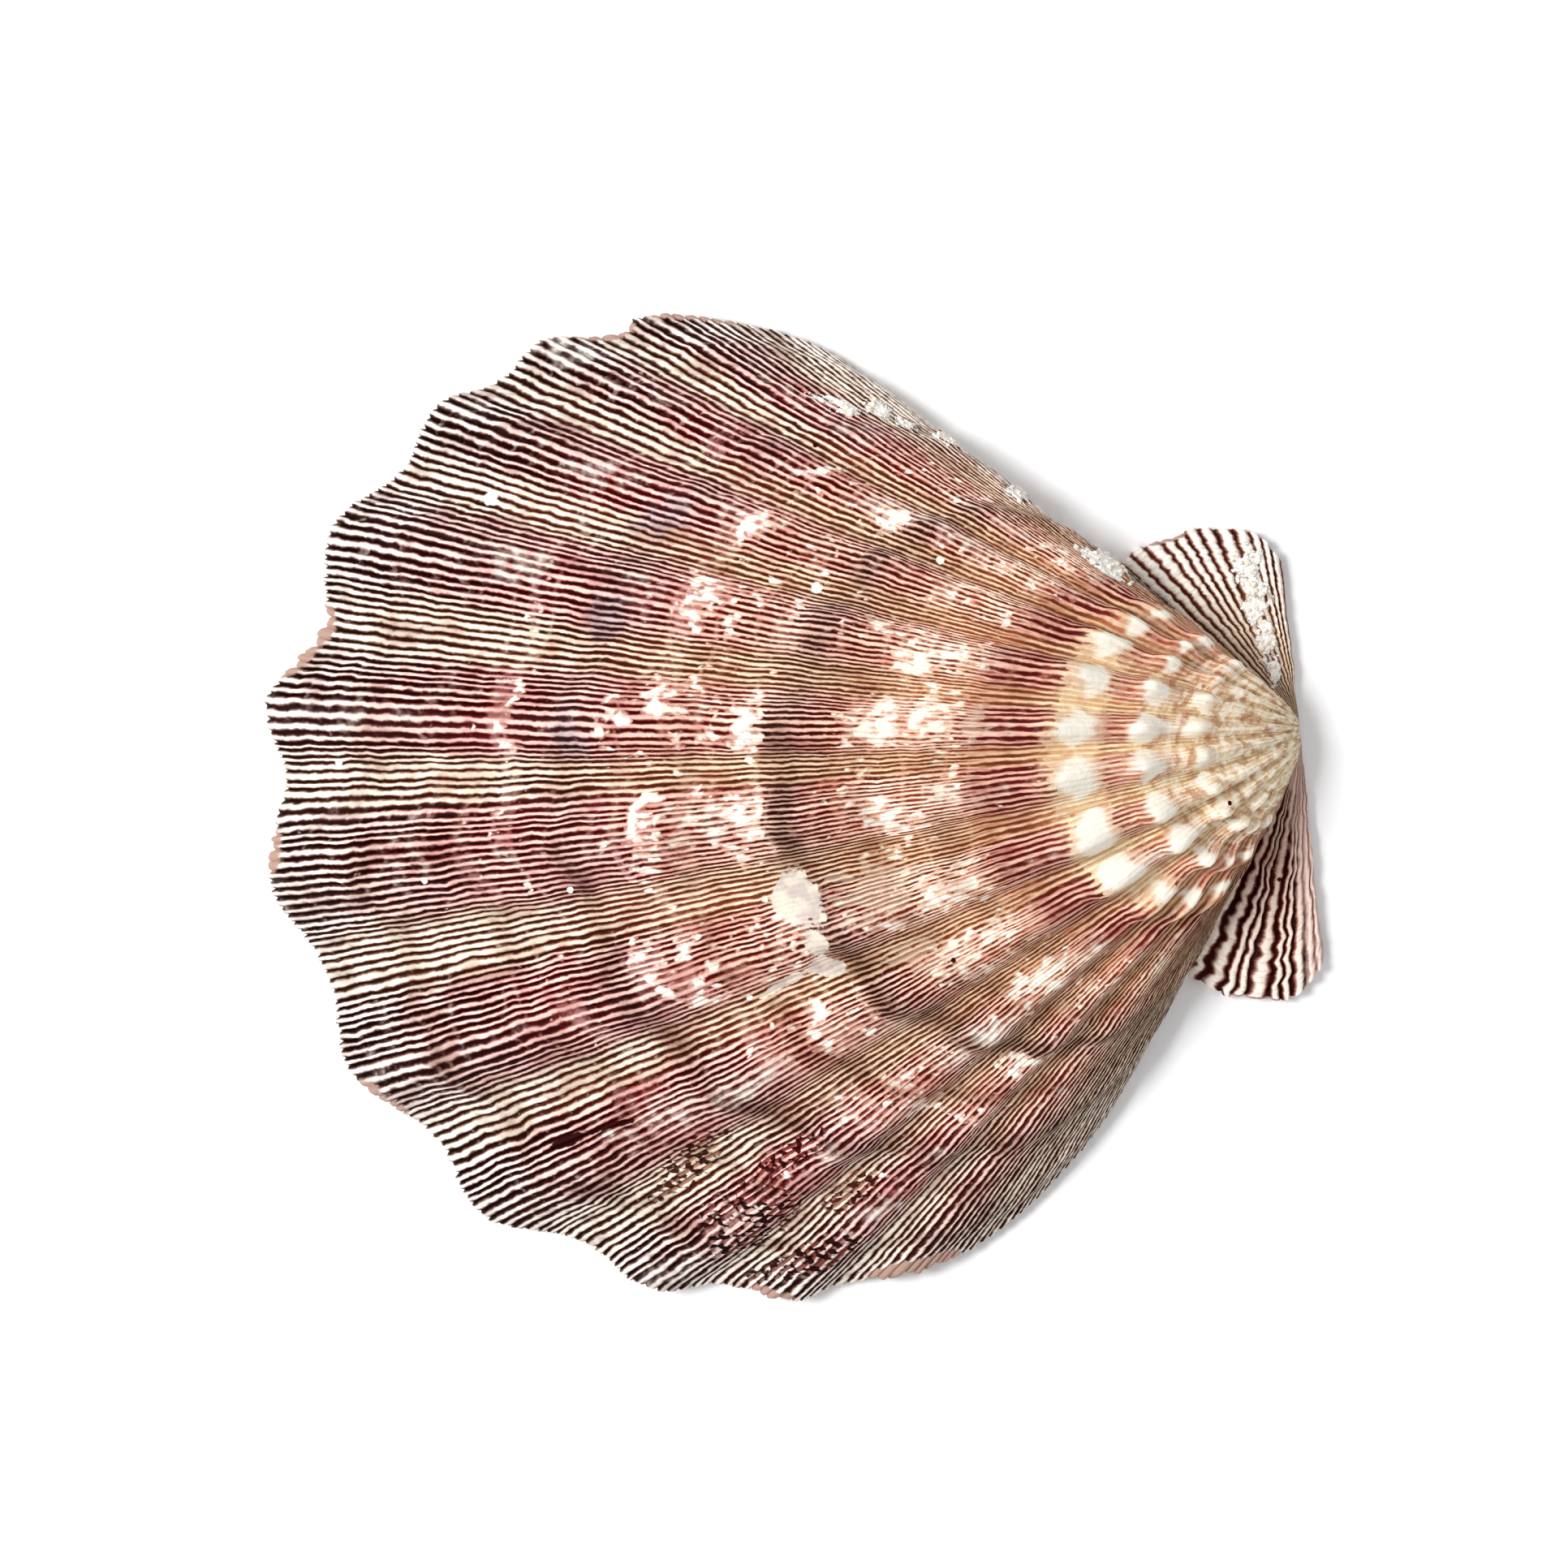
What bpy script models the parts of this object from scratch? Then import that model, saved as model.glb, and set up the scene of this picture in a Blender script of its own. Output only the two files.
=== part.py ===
# Lion paw scallop: one valve, lying with its hollow side down.
# +X points to the umbo, the hinge line runs along Y, and the origin is the middle of the footprint.

import bpy
import bmesh
import numpy as np

MM = 0.001

# Outline of the margin seen from above, in mm: (distance from the hinge line, place along it).
LOWER_EAR = [(0.0, -27.0), (2.6, -29.9), (6.6, -31.2), (10.4, -30.4), (16.4, -26.4)]
DISC = [
    (16.4, -26.4), (30.2, -45.3), (47.8, -56.3), (73.2, -56.0), (98.7, -41.1), (114.1, -13.2),
    (113.8, 15.1), (99.2, 39.8), (76.1, 53.5), (52.1, 50.9), (32.8, 33.1), (18.4, 21.4),
]
UPPER_EAR = [(18.4, 21.4), (13.4, 24.0), (8.0, 24.1), (3.0, 23.0), (0.0, 19.8)]
CURVE_STEPS = 24

# Main folds: (mm along the margin from the middle of the shell to the crest, share of the height).
FOLDS = [
    (-96.0, 0.45), (-83.0, 0.65), (-68.4, 0.85), (-47.6, 1.0), (-27.3, 1.0), (-1.2, 1.0),
    (17.0, 1.0), (38.0, 1.0), (55.0, 0.85), (68.5, 0.65), (80.5, 0.50),
]
FOLD_HEIGHT = 2.7
FOLD_GROWTH = 0.75
FOLD_FLAT = 0.42
FOLD_COLUMNS = (0.0, 0.16, 0.31, 0.43, 0.57, 0.69, 0.84)
FOLD_FADE = 13.0
MARGIN_LOBE = 0.014

# Growth of the shell: size 0 at the beak and 1 at the margin, turning about the hinge line.
COIL = 0.10
FLATNESS = 2.3
FIRST_SIZE = 0.025

# Arrested growth: (size, height of the ledge in mm, extra height of the knobs on the folds).
GROWTH_STEPS = [
    (0.145, 0.10, 0.50), (0.210, 0.20, 0.85), (0.305, 0.35, 1.25),
    (0.525, 0.35, 0.65), (0.720, 0.35, 0.50), (0.915, 0.25, 0.30),
]
# Reach of each ledge before and after its brink, and the place of its foot, as shares of its size.
STEP_RISE = 0.09
STEP_DROP = 0.03
STEP_FOOT = 0.05
BAND_ROWS = (6, 2, 3, 4, 4, 4, 2)

# Ears: low wings beside the umbo, with a few broad ribs.
EAR_LIFT = 0.34
FLANK_WIDTH = 30.0
FLANK_COLUMNS = 5
EAR_RIBS = 4
EAR_RIB_HEIGHT = 0.45

# Wall: height of the rim's edge, width of the flat under it, and of the flat under the hinge.
RIM_HEIGHT = 1.3
RIM_FLAT = 1.3
HINGE_FLAT = 3.5
HINGE_BLEND = 15.0
INNER_FOLD = 0.85
INNER_ROWS = 14
INNER_FIRST_SIZE = 0.05

SHELL_COLOUR = (0.36, 0.21, 0.17, 1.0)
SHELL_ROUGHNESS = 0.55
SHARP_ANGLE = 50.0


def clear_scene():
    for item in list(bpy.data.objects):
        bpy.data.objects.remove(item, do_unlink=True)


def smooth_curve(points):
    """A smooth curve through the points, ending exactly at the last one."""
    knots = np.array(points, dtype=float)
    before = 2.0 * knots[0] - knots[1]
    after = 2.0 * knots[-1] - knots[-2]
    knots = np.vstack([before, knots, after])
    steps = np.linspace(0.0, 1.0, CURVE_STEPS, endpoint=False)[:, None]
    pieces = []
    for a, b, c, d in zip(knots[:-3], knots[1:-2], knots[2:-1], knots[3:]):
        bend = 2.0 * a - 5.0 * b + 4.0 * c - d
        twist = 3.0 * b - a - 3.0 * c + d
        pieces.append(0.5 * (2.0 * b + (c - a) * steps + bend * steps**2 + twist * steps**3))
    pieces.append(knots[-2][None])
    return np.vstack(pieces)


def margin_line():
    """The whole margin, its length from the middle, and where the disc meets each ear."""
    lower = smooth_curve(LOWER_EAR)
    disc = smooth_curve(DISC)
    upper = smooth_curve(UPPER_EAR)
    line = np.vstack([lower[:-1], disc, upper[1:]])
    gaps = np.hypot(*np.diff(line, axis=0).T)
    along = np.concatenate([[0.0], np.cumsum(gaps)])
    far_half = line[:, 0] > 0.5 * line[:, 0].max()
    middle = np.interp(0.0, line[far_half, 1], along[far_half])
    along = along - middle
    lower_notch = along[len(lower) - 1]
    upper_notch = along[len(lower) + len(disc) - 2]
    return line, along, lower_notch, upper_notch


def column_places(along, lower_notch, upper_notch):
    """Places along the margin where the radial lines of the mesh end."""
    places = list(np.linspace(along[0], lower_notch, 2 * EAR_RIBS, endpoint=False))
    places += list(np.linspace(lower_notch, FOLDS[0][0], FLANK_COLUMNS + 1, endpoint=False))
    for (left, _), (right, _) in zip(FOLDS[:-1], FOLDS[1:]):
        places += [left + (right - left) * part for part in FOLD_COLUMNS]
    places += list(np.linspace(FOLDS[-1][0], upper_notch, FLANK_COLUMNS + 2, endpoint=False))
    places += list(np.linspace(upper_notch, along[-1], 2 * EAR_RIBS + 1))
    return np.array(places)


def fold_wave(places):
    """Each fold's share of the height on its crest, and 0 in the flat between two folds."""
    wave = np.zeros(len(places))
    zero_level = np.cos(2.0 * np.pi * FOLD_FLAT)
    for (left, _), (right, _) in zip(FOLDS[:-1], FOLDS[1:]):
        part = (places - left) / (right - left)
        level = (np.cos(2.0 * np.pi * part) - zero_level) / (1.0 - zero_level)
        inside = (part >= 0.0) & (part <= 1.0)
        wave = np.where(inside, np.maximum(level, 0.0), wave)
    for crest, side in ((FOLDS[0][0], -1.0), (FOLDS[-1][0], 1.0)):
        part = (places - crest) * side / FOLD_FADE
        level = 0.5 + 0.5 * np.cos(np.pi * np.clip(part, 0.0, 1.0))
        wave = np.where(part > 0.0, level, wave)
    crests, shares = np.array(FOLDS).T
    return wave * np.interp(places, crests, shares)


def ear_wave(places, lower_notch, upper_notch):
    """Ribs of the ears: every other column stands up."""
    wave = np.zeros(len(places))
    on_ear = (places < lower_notch) | (places > upper_notch)
    numbers = np.arange(len(places))
    wave[on_ear & (numbers % 2 == 1)] = 1.0
    return wave


def lift_factor(places, lower_notch, upper_notch):
    """How far each column follows the disc's full arch."""
    inside = np.minimum(places - lower_notch, upper_notch - places)
    part = np.clip(inside / FLANK_WIDTH, 0.0, 1.0)
    ease = part * part * (3.0 - 2.0 * part)
    return EAR_LIFT + (1.0 - EAR_LIFT) * ease


def arch_angle(size):
    """Turn about the hinge line at each size of the growing shell."""
    return (1.0 - size**COIL) / (COIL * FLATNESS)


def ledge_height(size, wave):
    """Ledges and knobs where growth paused, strongest on the folds."""
    height = np.zeros((len(size), len(wave)))
    for place, ledge, knob in GROWTH_STEPS:
        gap = size - place
        width = np.where(gap < 0.0, STEP_RISE, STEP_DROP) * place
        ring = np.exp(-((gap / width) ** 2))
        height += ring[:, None] * (ledge + knob * wave[None, :] ** 2)
    return height


def outward_directions(points):
    """Unit normals of a grid of points, on its convex side."""
    across = np.gradient(points, axis=1)
    growing = np.gradient(points, axis=0)
    normals = np.cross(across, growing)
    normals /= np.linalg.norm(normals, axis=2, keepdims=True)
    return normals


def arched_grid(outline, apex, size, lift, base):
    """Rows of the outline, scaled from the apex and turned about the hinge line."""
    reach = outline[:, 0] - apex
    angle = arch_angle(size)[:, None]
    scaled = size[:, None] * reach[None, :]
    points = np.empty((len(size), len(reach), 3))
    points[..., 0] = -(apex + scaled * np.cos(angle))
    points[..., 1] = size[:, None] * outline[None, :, 1]
    points[..., 2] = base + scaled * np.sin(angle) * lift[None, :]
    return points


def outer_sizes():
    """Sizes of the outer rows, with a row on the brink and the foot of every ledge."""
    sizes = []
    start = FIRST_SIZE
    brinks = [step[0] for step in GROWTH_STEPS] + [1.0]
    for brink, count in zip(brinks, BAND_ROWS):
        sizes += list(np.linspace(start, brink, count + 1))
        start = brink * (1.0 + STEP_FOOT)
    return np.array(sizes)


def inset_outline(outline, places):
    """The inner edge of the rim's flat, moved in from the margin and from the hinge line."""
    tangent = np.gradient(outline, places, axis=0)
    tangent /= np.linalg.norm(tangent, axis=1, keepdims=True)
    inward = np.stack([-tangent[:, 1], tangent[:, 0]], axis=1)
    inward[0] = (0.0, 1.0)
    inward[-1] = (0.0, -1.0)
    inner = outline + RIM_FLAT * inward
    inner[:, 0] += HINGE_FLAT * np.clip(1.0 - outline[:, 0] / HINGE_BLEND, 0.0, 1.0)
    inner[[0, -1], 0] = HINGE_FLAT
    return inner


def shell_points():
    """Outer grid, foot of the rim, inner grid and both apexes, in mm."""
    line, along, lower_notch, upper_notch = margin_line()
    places = column_places(along, lower_notch, upper_notch)
    wave = fold_wave(places)
    ribs = ear_wave(places, lower_notch, upper_notch)
    lift = lift_factor(places, lower_notch, upper_notch)
    plain = np.stack([np.interp(places, along, line[:, axis]) for axis in (0, 1)], axis=1)
    lobed = plain * (1.0 + MARGIN_LOBE * wave)[:, None]

    size = outer_sizes()
    outer = arched_grid(lobed, 0.0, size, lift, RIM_HEIGHT)
    relief = FOLD_HEIGHT * size[:, None] ** FOLD_GROWTH * wave[None, :]
    relief += EAR_RIB_HEIGHT * size[:, None] ** FOLD_GROWTH * ribs[None, :]
    relief += ledge_height(size, wave) * (lift[None, :] ** 2)
    outer += relief[..., None] * outward_directions(outer)
    outer[:, [0, -1], 0] = 0.0
    outer[:, [0, -1], 2] = RIM_HEIGHT

    foot = outer[-1] - np.array([0.0, 0.0, RIM_HEIGHT])
    ear_columns = lift < EAR_LIFT + 1e-6
    foot[ear_columns, 2] = 0.0
    foot[wave < 1e-6, 2] = 0.0

    inner_size = np.linspace(INNER_FIRST_SIZE, 1.0, INNER_ROWS)
    inner = arched_grid(inset_outline(lobed, places), HINGE_FLAT, inner_size, lift, 0.0)
    inner_relief = INNER_FOLD * FOLD_HEIGHT * inner_size[:, None] ** FOLD_GROWTH * wave[None, :]
    inner += inner_relief[..., None] * outward_directions(inner)
    inner[:, [0, -1], 2] = 0.0

    beak = np.array([0.0, 0.0, RIM_HEIGHT])
    inner_apex = np.array([-HINGE_FLAT, 0.0, 0.0])
    return outer, foot, inner, beak, inner_apex


def add_grid(mesh, grid):
    return [[mesh.verts.new(point) for point in row] for row in grid]


def join_rows(mesh, first, second):
    for a, b, c, d in zip(first[:-1], first[1:], second[1:], second[:-1]):
        mesh.faces.new((a, b, c, d))


def join_fan(mesh, tip, row):
    for a, b in zip(row[:-1], row[1:]):
        mesh.faces.new((tip, a, b))


def build_valve():
    outer, foot, inner, beak, inner_apex = shell_points()
    reach = np.vstack([outer.reshape(-1, 3), foot])
    middle = 0.5 * (reach.min(axis=0) + reach.max(axis=0))
    shift = np.array([-middle[0], -middle[1], 0.0])

    mesh = bmesh.new()
    outer_rows = add_grid(mesh, (outer + shift) * MM)
    foot_row = add_grid(mesh, [(foot + shift) * MM])[0]
    inner_rows = add_grid(mesh, (inner + shift) * MM)
    beak_vert = mesh.verts.new((beak + shift) * MM)
    apex_vert = mesh.verts.new((inner_apex + shift) * MM)

    join_fan(mesh, beak_vert, outer_rows[0])
    for first, second in zip(outer_rows[:-1], outer_rows[1:]):
        join_rows(mesh, first, second)
    join_rows(mesh, outer_rows[-1], foot_row)
    join_rows(mesh, foot_row, inner_rows[-1])
    for first, second in zip(inner_rows[:-1], inner_rows[1:]):
        join_rows(mesh, first, second)
    join_fan(mesh, apex_vert, inner_rows[0])

    lower_edge = [row[0] for row in reversed(outer_rows)]
    upper_edge = [row[-1] for row in outer_rows]
    mesh.faces.new([foot_row[0]] + lower_edge + [beak_vert] + upper_edge + [foot_row[-1]])
    lower_land = [row[0] for row in inner_rows]
    upper_land = [row[-1] for row in reversed(inner_rows)]
    mesh.faces.new([foot_row[0], foot_row[-1]] + upper_land + [apex_vert] + lower_land)

    bmesh.ops.triangulate(mesh, faces=mesh.faces[:])
    bmesh.ops.recalc_face_normals(mesh, faces=mesh.faces[:])
    data = bpy.data.meshes.new("scallop_valve")
    mesh.to_mesh(data)
    mesh.free()
    data.shade_smooth()
    data.set_sharp_from_angle(angle=np.radians(SHARP_ANGLE))
    valve = bpy.data.objects.new("scallop_valve", data)
    bpy.context.scene.collection.objects.link(valve)
    return valve


def shell_material():
    material = bpy.data.materials.new("shell")
    material.use_nodes = True
    surface = material.node_tree.nodes["Principled BSDF"]
    surface.inputs["Base Color"].default_value = SHELL_COLOUR
    surface.inputs["Roughness"].default_value = SHELL_ROUGHNESS
    surface.inputs["Metallic"].default_value = 0.0
    return material


clear_scene()
scallop = build_valve()
scallop.data.materials.append(shell_material())
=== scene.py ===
import math
import bpy
import numpy as np
from mathutils import Matrix


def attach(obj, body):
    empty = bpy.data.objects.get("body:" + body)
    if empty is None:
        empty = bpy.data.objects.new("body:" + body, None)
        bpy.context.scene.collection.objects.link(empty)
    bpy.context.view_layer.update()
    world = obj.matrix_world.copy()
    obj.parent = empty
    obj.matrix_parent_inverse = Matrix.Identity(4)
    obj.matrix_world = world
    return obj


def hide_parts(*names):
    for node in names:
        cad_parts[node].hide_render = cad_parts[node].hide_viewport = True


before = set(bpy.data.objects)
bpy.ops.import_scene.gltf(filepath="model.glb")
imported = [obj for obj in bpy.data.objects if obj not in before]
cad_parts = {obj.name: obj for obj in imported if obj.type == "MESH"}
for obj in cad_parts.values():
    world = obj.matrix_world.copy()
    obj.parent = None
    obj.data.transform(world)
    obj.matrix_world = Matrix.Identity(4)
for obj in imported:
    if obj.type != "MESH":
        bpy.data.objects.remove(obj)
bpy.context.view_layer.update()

mm = 0.001

# The valve, in mm, as it is built in the solid: h is the distance from the hinge line, w the place along it.
valve = {
    "lowerEar": [(0.0, -27.0), (2.6, -29.9), (6.6, -31.2), (10.4, -30.4), (16.4, -26.4)],
    "disc": [
        (16.4, -26.4), (30.2, -45.3), (47.8, -56.3), (73.2, -56.0), (98.7, -41.1), (114.1, -13.2),
        (113.8, 15.1), (99.2, 39.8), (76.1, 53.5), (52.1, 50.9), (32.8, 33.1), (18.4, 21.4),
    ],
    "upperEar": [(18.4, 21.4), (13.4, 24.0), (8.0, 24.1), (3.0, 23.0), (0.0, 19.8)],
    "curveSteps": 24,
    "hingeX": 59.24,
    "hingeY": 1.61,
    "coil": 0.10,
    "flatness": 2.3,
    "earLift": 0.34,
    "flankWidth": 30.0,
    "rimHeight": 1.3,
    "rimFlat": 1.3,
    "hingeFlat": 3.5,
    "hingeBlend": 15.0,
}

# Main folds: (mm along the margin, share of the height).
folds = {
    "crests": [
        (-96.0, 0.45), (-83.0, 0.65), (-68.4, 0.85), (-47.6, 1.0), (-27.3, 1.0), (-1.2, 1.0),
        (17.0, 1.0), (38.0, 1.0), (55.0, 0.85), (68.5, 0.65), (80.5, 0.50),
    ],
    "height": 2.7,
    "growth": 0.75,
    "flat": 0.42,
    "fade": 13.0,
    "lobe": 0.014,
    "inside": 0.85,
}

# Pauses of growth: (size, height of the ledge, extra height of the knobs), and the reach of each ledge.
pauses = {
    "steps": [
        (0.158, 0.10, 0.55), (0.221, 0.20, 0.95), (0.305, 0.32, 1.05),
        (0.525, 0.45, 1.00), (0.720, 0.45, 0.85), (0.915, 0.30, 0.40),
    ],
    "rise": 0.09,
    "drop": 0.03,
}

# Rounded knobs on the folds, in rows: (size, half length in size, height in mm)
knobs = [
    (0.278, 0.026, 0.95), (0.214, 0.020, 0.95), (0.160, 0.0150, 0.75), (0.120, 0.0110, 0.50),
    (0.090, 0.0082, 0.36), (0.068, 0.0062, 0.26), (0.051, 0.0048, 0.18),
]

riblets = {
    "onLowerEar": 10,
    "onDisc": 226,
    "onUpperEar": 12,
    "earColumns": 6,
    "discColumns": 4,
    "uneven": 0.26,
    "earUneven": 0.42,
    "foldSpread": 0.12,
    # relative width of the riblets by mm along the margin
    "pitch": [
        (-145, 1.40), (-118, 1.28), (-95, 1.12), (-55, 0.98), (0, 0.90), (50, 0.94), (66, 1.15), (95, 1.24),
        (112, 1.60), (141, 1.75),
    ],
    "height": 0.34,
    "earHeight": 0.62,
    "doubleAt": (0.33, 0.40),      # below this size two riblets are still one
    "quadrupleAt": (0.12, 0.18),
    "wander": 0.55,
    "earWander": 0.75,
    "seed": 11,
}

rows = {
    "count": 89,
    "firstSize": 0.025,
    "everyFourthBelow": 0.055,
    "everySecondBelow": 0.165,
    "beakCrowding": 0.8,
    "beakReach": 0.1,
    "pauseCrowding": 1.6,
    "pauseReach": 0.022,
}

# Chips out of the margin: (mm along it, half width, depth, size covered by the bare layer).
chips = [
    (24.0, 5.0, 1.6, 0.021), (73.9, 4.0, 1.2, 0.018), (84.5, 5.0, 1.0, 0.020), (0.5, 2.6, 0.9, 0.014),
    (-97.0, 6.0, 1.6, 0.050), (-81.0, 3.0, 0.8, 0.021), (-30.0, 3.0, 0.7, 0.013),
    (-154.5, 3.0, 0.9, 0.035), (147.0, 2.5, 0.8, 0.040),
]

# Worn and overgrown places seen from above, in mm: (x, y, half length, half width, turn in degrees).
marks = {
    "crust": [
        (55.8, 17.0, 2.6, 1.5, 80), (56.3, 12.4, 2.6, 1.3, 80), (55.4, 21.2, 2.0, 1.4, 60),
        (56.9, 8.6, 1.8, 0.8, 70), (38.3, 23.2, 3.2, 0.9, -35), (11.7, 43.4, 1.9, 1.0, -20),
        (15.3, 43.0, 1.6, 1.1, -40), (23.0, 38.6, 2.0, 0.8, -35), (8.6, 44.6, 1.0, 0.6, 10),
        (18.6, 41.0, 1.2, 0.6, -35), (29.5, 32.0, 1.2, 0.5, -30),
    ],
    "scar": [
        (0.2, -8.6, 3.6, 2.4, -62), (1.8, -13.4, 2.0, 1.1, -80), (2.4, -16.8, 2.5, 1.1, -15),
        (-2.6, -18.2, 2.6, 0.6, 25),
    ],
    "fade": [
        (9.0, -8.4, 5.0, 2.6, 8), (13.0, -16.5, 3.0, 1.8, -20), (21.0, 8.0, 3.0, 1.0, 60),
    ],
    "speckle": [
        (-9.5, -45.5, 7.0, 4.2, 25), (-15.5, -38.0, 6.5, 2.6, 45), (-3.0, -51.0, 8.0, 1.8, 20),
        (-4.0, -38.0, 5.0, 1.4, 30), (2.0, -44.0, 4.0, 1.6, 30),
    ],
    "frost": [
        (-16.5, 24.0, 3.2, 2.4, 30), (-10.0, 34.0, 3.6, 1.6, 10), (-22.0, 12.0, 2.0, 3.0, 0),
    ],
    "stain": [
        (-28.2, -33.6, 2.2, 0.55, 20), (-22.8, -32.1, 2.6, 0.35, 12), (-11.6, 3.7, 0.7, 0.22, 60),
    ],
}

# Pale blotches: (mm along the margin, size, half length along the margin, half size)
blotches = [
    (16, 0.772, 8, 0.014), (8, 0.797, 4, 0.014), (30, 0.785, 5, 0.014), (18, 0.683, 5, 0.016),
    (21, 0.640, 6, 0.018), (15, 0.560, 9, 0.015), (-2, 0.556, 6, 0.018), (-8, 0.572, 5, 0.014),
    (-23, 0.690, 6, 0.018), (-30, 0.672, 4, 0.014), (55, 0.642, 5, 0.022), (38, 0.640, 6, 0.022),
    (44, 0.600, 5, 0.016), (60, 0.700, 5, 0.016), (22, 0.405, 9, 0.024), (18, 0.450, 8, 0.028),
    (33, 0.435, 6, 0.024), (8, 0.460, 5, 0.016), (-5, 0.440, 6, 0.020), (-14, 0.452, 4, 0.020),
    (40, 0.480, 6, 0.018), (48, 0.520, 5, 0.018), (66, 0.560, 5, 0.022), (70, 0.660, 5, 0.018),
    (2, 0.640, 4, 0.014), (-28, 0.398, 6, 0.018), (-29, 0.432, 5, 0.018), (-31, 0.477, 4, 0.014),
    (-27, 0.512, 4, 0.014), (-43, 0.400, 5, 0.018), (-46, 0.458, 7, 0.024), (-43, 0.588, 6, 0.015),
    (-50, 0.606, 6, 0.017), (-63, 0.410, 5, 0.022), (-65, 0.442, 7, 0.028), (-65, 0.614, 7, 0.018),
    (-64, 0.682, 6, 0.020), (-68, 0.732, 5, 0.018), (-74, 0.640, 6, 0.030), (-82, 0.560, 6, 0.030),
    (-84, 0.650, 5, 0.026),
]

# The margin: how uneven it is in mm, from which size on, and the rows of points round its edge
margin = {
    "uneven": 0.35,
    "scallop": 0.22,
    "lossFrom": 0.88,
    "bulge": 1.003,
    "bulgeHeight": 0.55,
    "bulgeRiblets": 0.8,
    "footRiblets": 0.4,
    "hingeFadeColumns": 3.0,
}

inside = {
    "columnStep": 4,     # columns of the outside for each one of the inside
    "rowStep": 2,
}

hinge = {
    "lineDepths": (1.2, 2.4),
    "pitDepth": 1.15,
    "pitHalfWidth": 4.2,
    "edgeWander": 0.45,
}


# Curves and places, worked out as numbers
def smoothCurve(points):
    knots = np.array(points, dtype=float)
    knots = np.vstack([2.0 * knots[0] - knots[1], knots, 2.0 * knots[-1] - knots[-2]])
    steps = np.linspace(0.0, 1.0, valve["curveSteps"], endpoint=False)[:, None]
    stretches = []
    for a, b, c, d in zip(knots[:-3], knots[1:-2], knots[2:-1], knots[3:]):
        bend = 2.0 * a - 5.0 * b + 4.0 * c - d
        twist = 3.0 * b - a - 3.0 * c + d
        stretches.append(0.5 * (2.0 * b + (c - a) * steps + bend * steps**2 + twist * steps**3))
    stretches.append(knots[-2][None])
    return np.vstack(stretches)


def marginLine():
    lower, disc, upper = [smoothCurve(valve[name]) for name in ("lowerEar", "disc", "upperEar")]
    line = np.vstack([lower[:-1], disc, upper[1:]])
    along = np.concatenate([[0.0], np.cumsum(np.hypot(*np.diff(line, axis=0).T))])
    farHalf = line[:, 0] > 0.5 * line[:, 0].max()
    along = along - np.interp(0.0, line[farHalf, 1], along[farHalf])
    return line, along, along[len(lower) - 1], along[len(lower) + len(disc) - 2]


def foldPhases(places):
    # share of the way from each crest to the next, or -1 beyond the outermost folds
    phase = np.full(len(places), -1.0)
    crests = [crest for crest, share in folds["crests"]]
    for left, right in zip(crests[:-1], crests[1:]):
        between = (places >= left) & (places <= right)
        phase = np.where(between, (places - left) / (right - left), phase)
    return phase


def foldWave(places):
    wave = np.zeros(len(places))
    phase = foldPhases(places)
    zeroLevel = math.cos(2.0 * math.pi * folds["flat"])
    level = (np.cos(2.0 * np.pi * phase) - zeroLevel) / (1.0 - zeroLevel)
    wave = np.where(phase >= 0.0, np.maximum(level, 0.0), wave)
    for crest, side in ((folds["crests"][0][0], -1.0), (folds["crests"][-1][0], 1.0)):
        part = (places - crest) * side / folds["fade"]
        wave = np.where(part > 0.0, 0.5 + 0.5 * np.cos(np.pi * np.clip(part, 0.0, 1.0)), wave)
    crests, shares = np.array(folds["crests"]).T
    return wave * np.interp(places, crests, shares)


def fromCrest(places):
    # 0 on the crest of a fold and 1 halfway to the next
    phase = foldPhases(places)
    first, last = folds["crests"][0][0], folds["crests"][-1][0]
    beyond = np.maximum(first - places, places - last) / (0.8 * folds["fade"])
    return np.where(phase >= 0.0, 1.0 - np.abs(1.0 - 2.0 * phase), np.clip(beyond, 0.0, 1.0))


def ribletEdges(start, end, count, random, uneven, foldSpread):
    places, widths = np.array(riblets["pitch"], dtype=float).T
    fine = np.linspace(start, end, 2000)
    passed = np.concatenate([[0.0], np.cumsum(1.0 / np.interp(fine, places, widths))])[:-1]
    middles = np.interp((np.arange(count) + 0.5) / count * passed[-1], passed, fine)
    phase = foldPhases(middles)
    widths = np.interp(middles, places, widths) * (1.0 + uneven * random.uniform(-1.0, 1.0, count))
    widths *= 1.0 + foldSpread * np.where(phase >= 0.0, np.cos(4.0 * np.pi * phase), 0.0)
    return start + (end - start) * np.concatenate([[0.0], np.cumsum(widths)]) / widths.sum()


def columnPlan():
    # where each column of the sheet meets the margin, and how many riblets lie before it
    line, along, lowerNotch, upperNotch = marginLine()
    random = np.random.default_rng(riblets["seed"])
    places, counts = [], []
    earColumns, discColumns = riblets["earColumns"], riblets["discColumns"]
    uneven, foldSpread = riblets["uneven"], riblets["foldSpread"]
    groups = [
        (along[0], lowerNotch, riblets["onLowerEar"], earColumns, riblets["earUneven"], 0.0),
        (lowerNotch, upperNotch, riblets["onDisc"], discColumns, uneven, foldSpread),
        (upperNotch, along[-1], riblets["onUpperEar"], earColumns, uneven, 0.0),
    ]
    before = 0
    for start, end, count, columns, *unevenness in groups:
        edges = ribletEdges(start, end, count, random, *unevenness)
        for number in range(count):
            shares = np.arange(columns) / columns
            places += list(edges[number] + (edges[number + 1] - edges[number]) * shares)
            counts += list(before + number + shares)
        before += count
    places.append(along[-1])
    counts.append(float(before))
    return np.array(places), np.array(counts)


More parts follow.
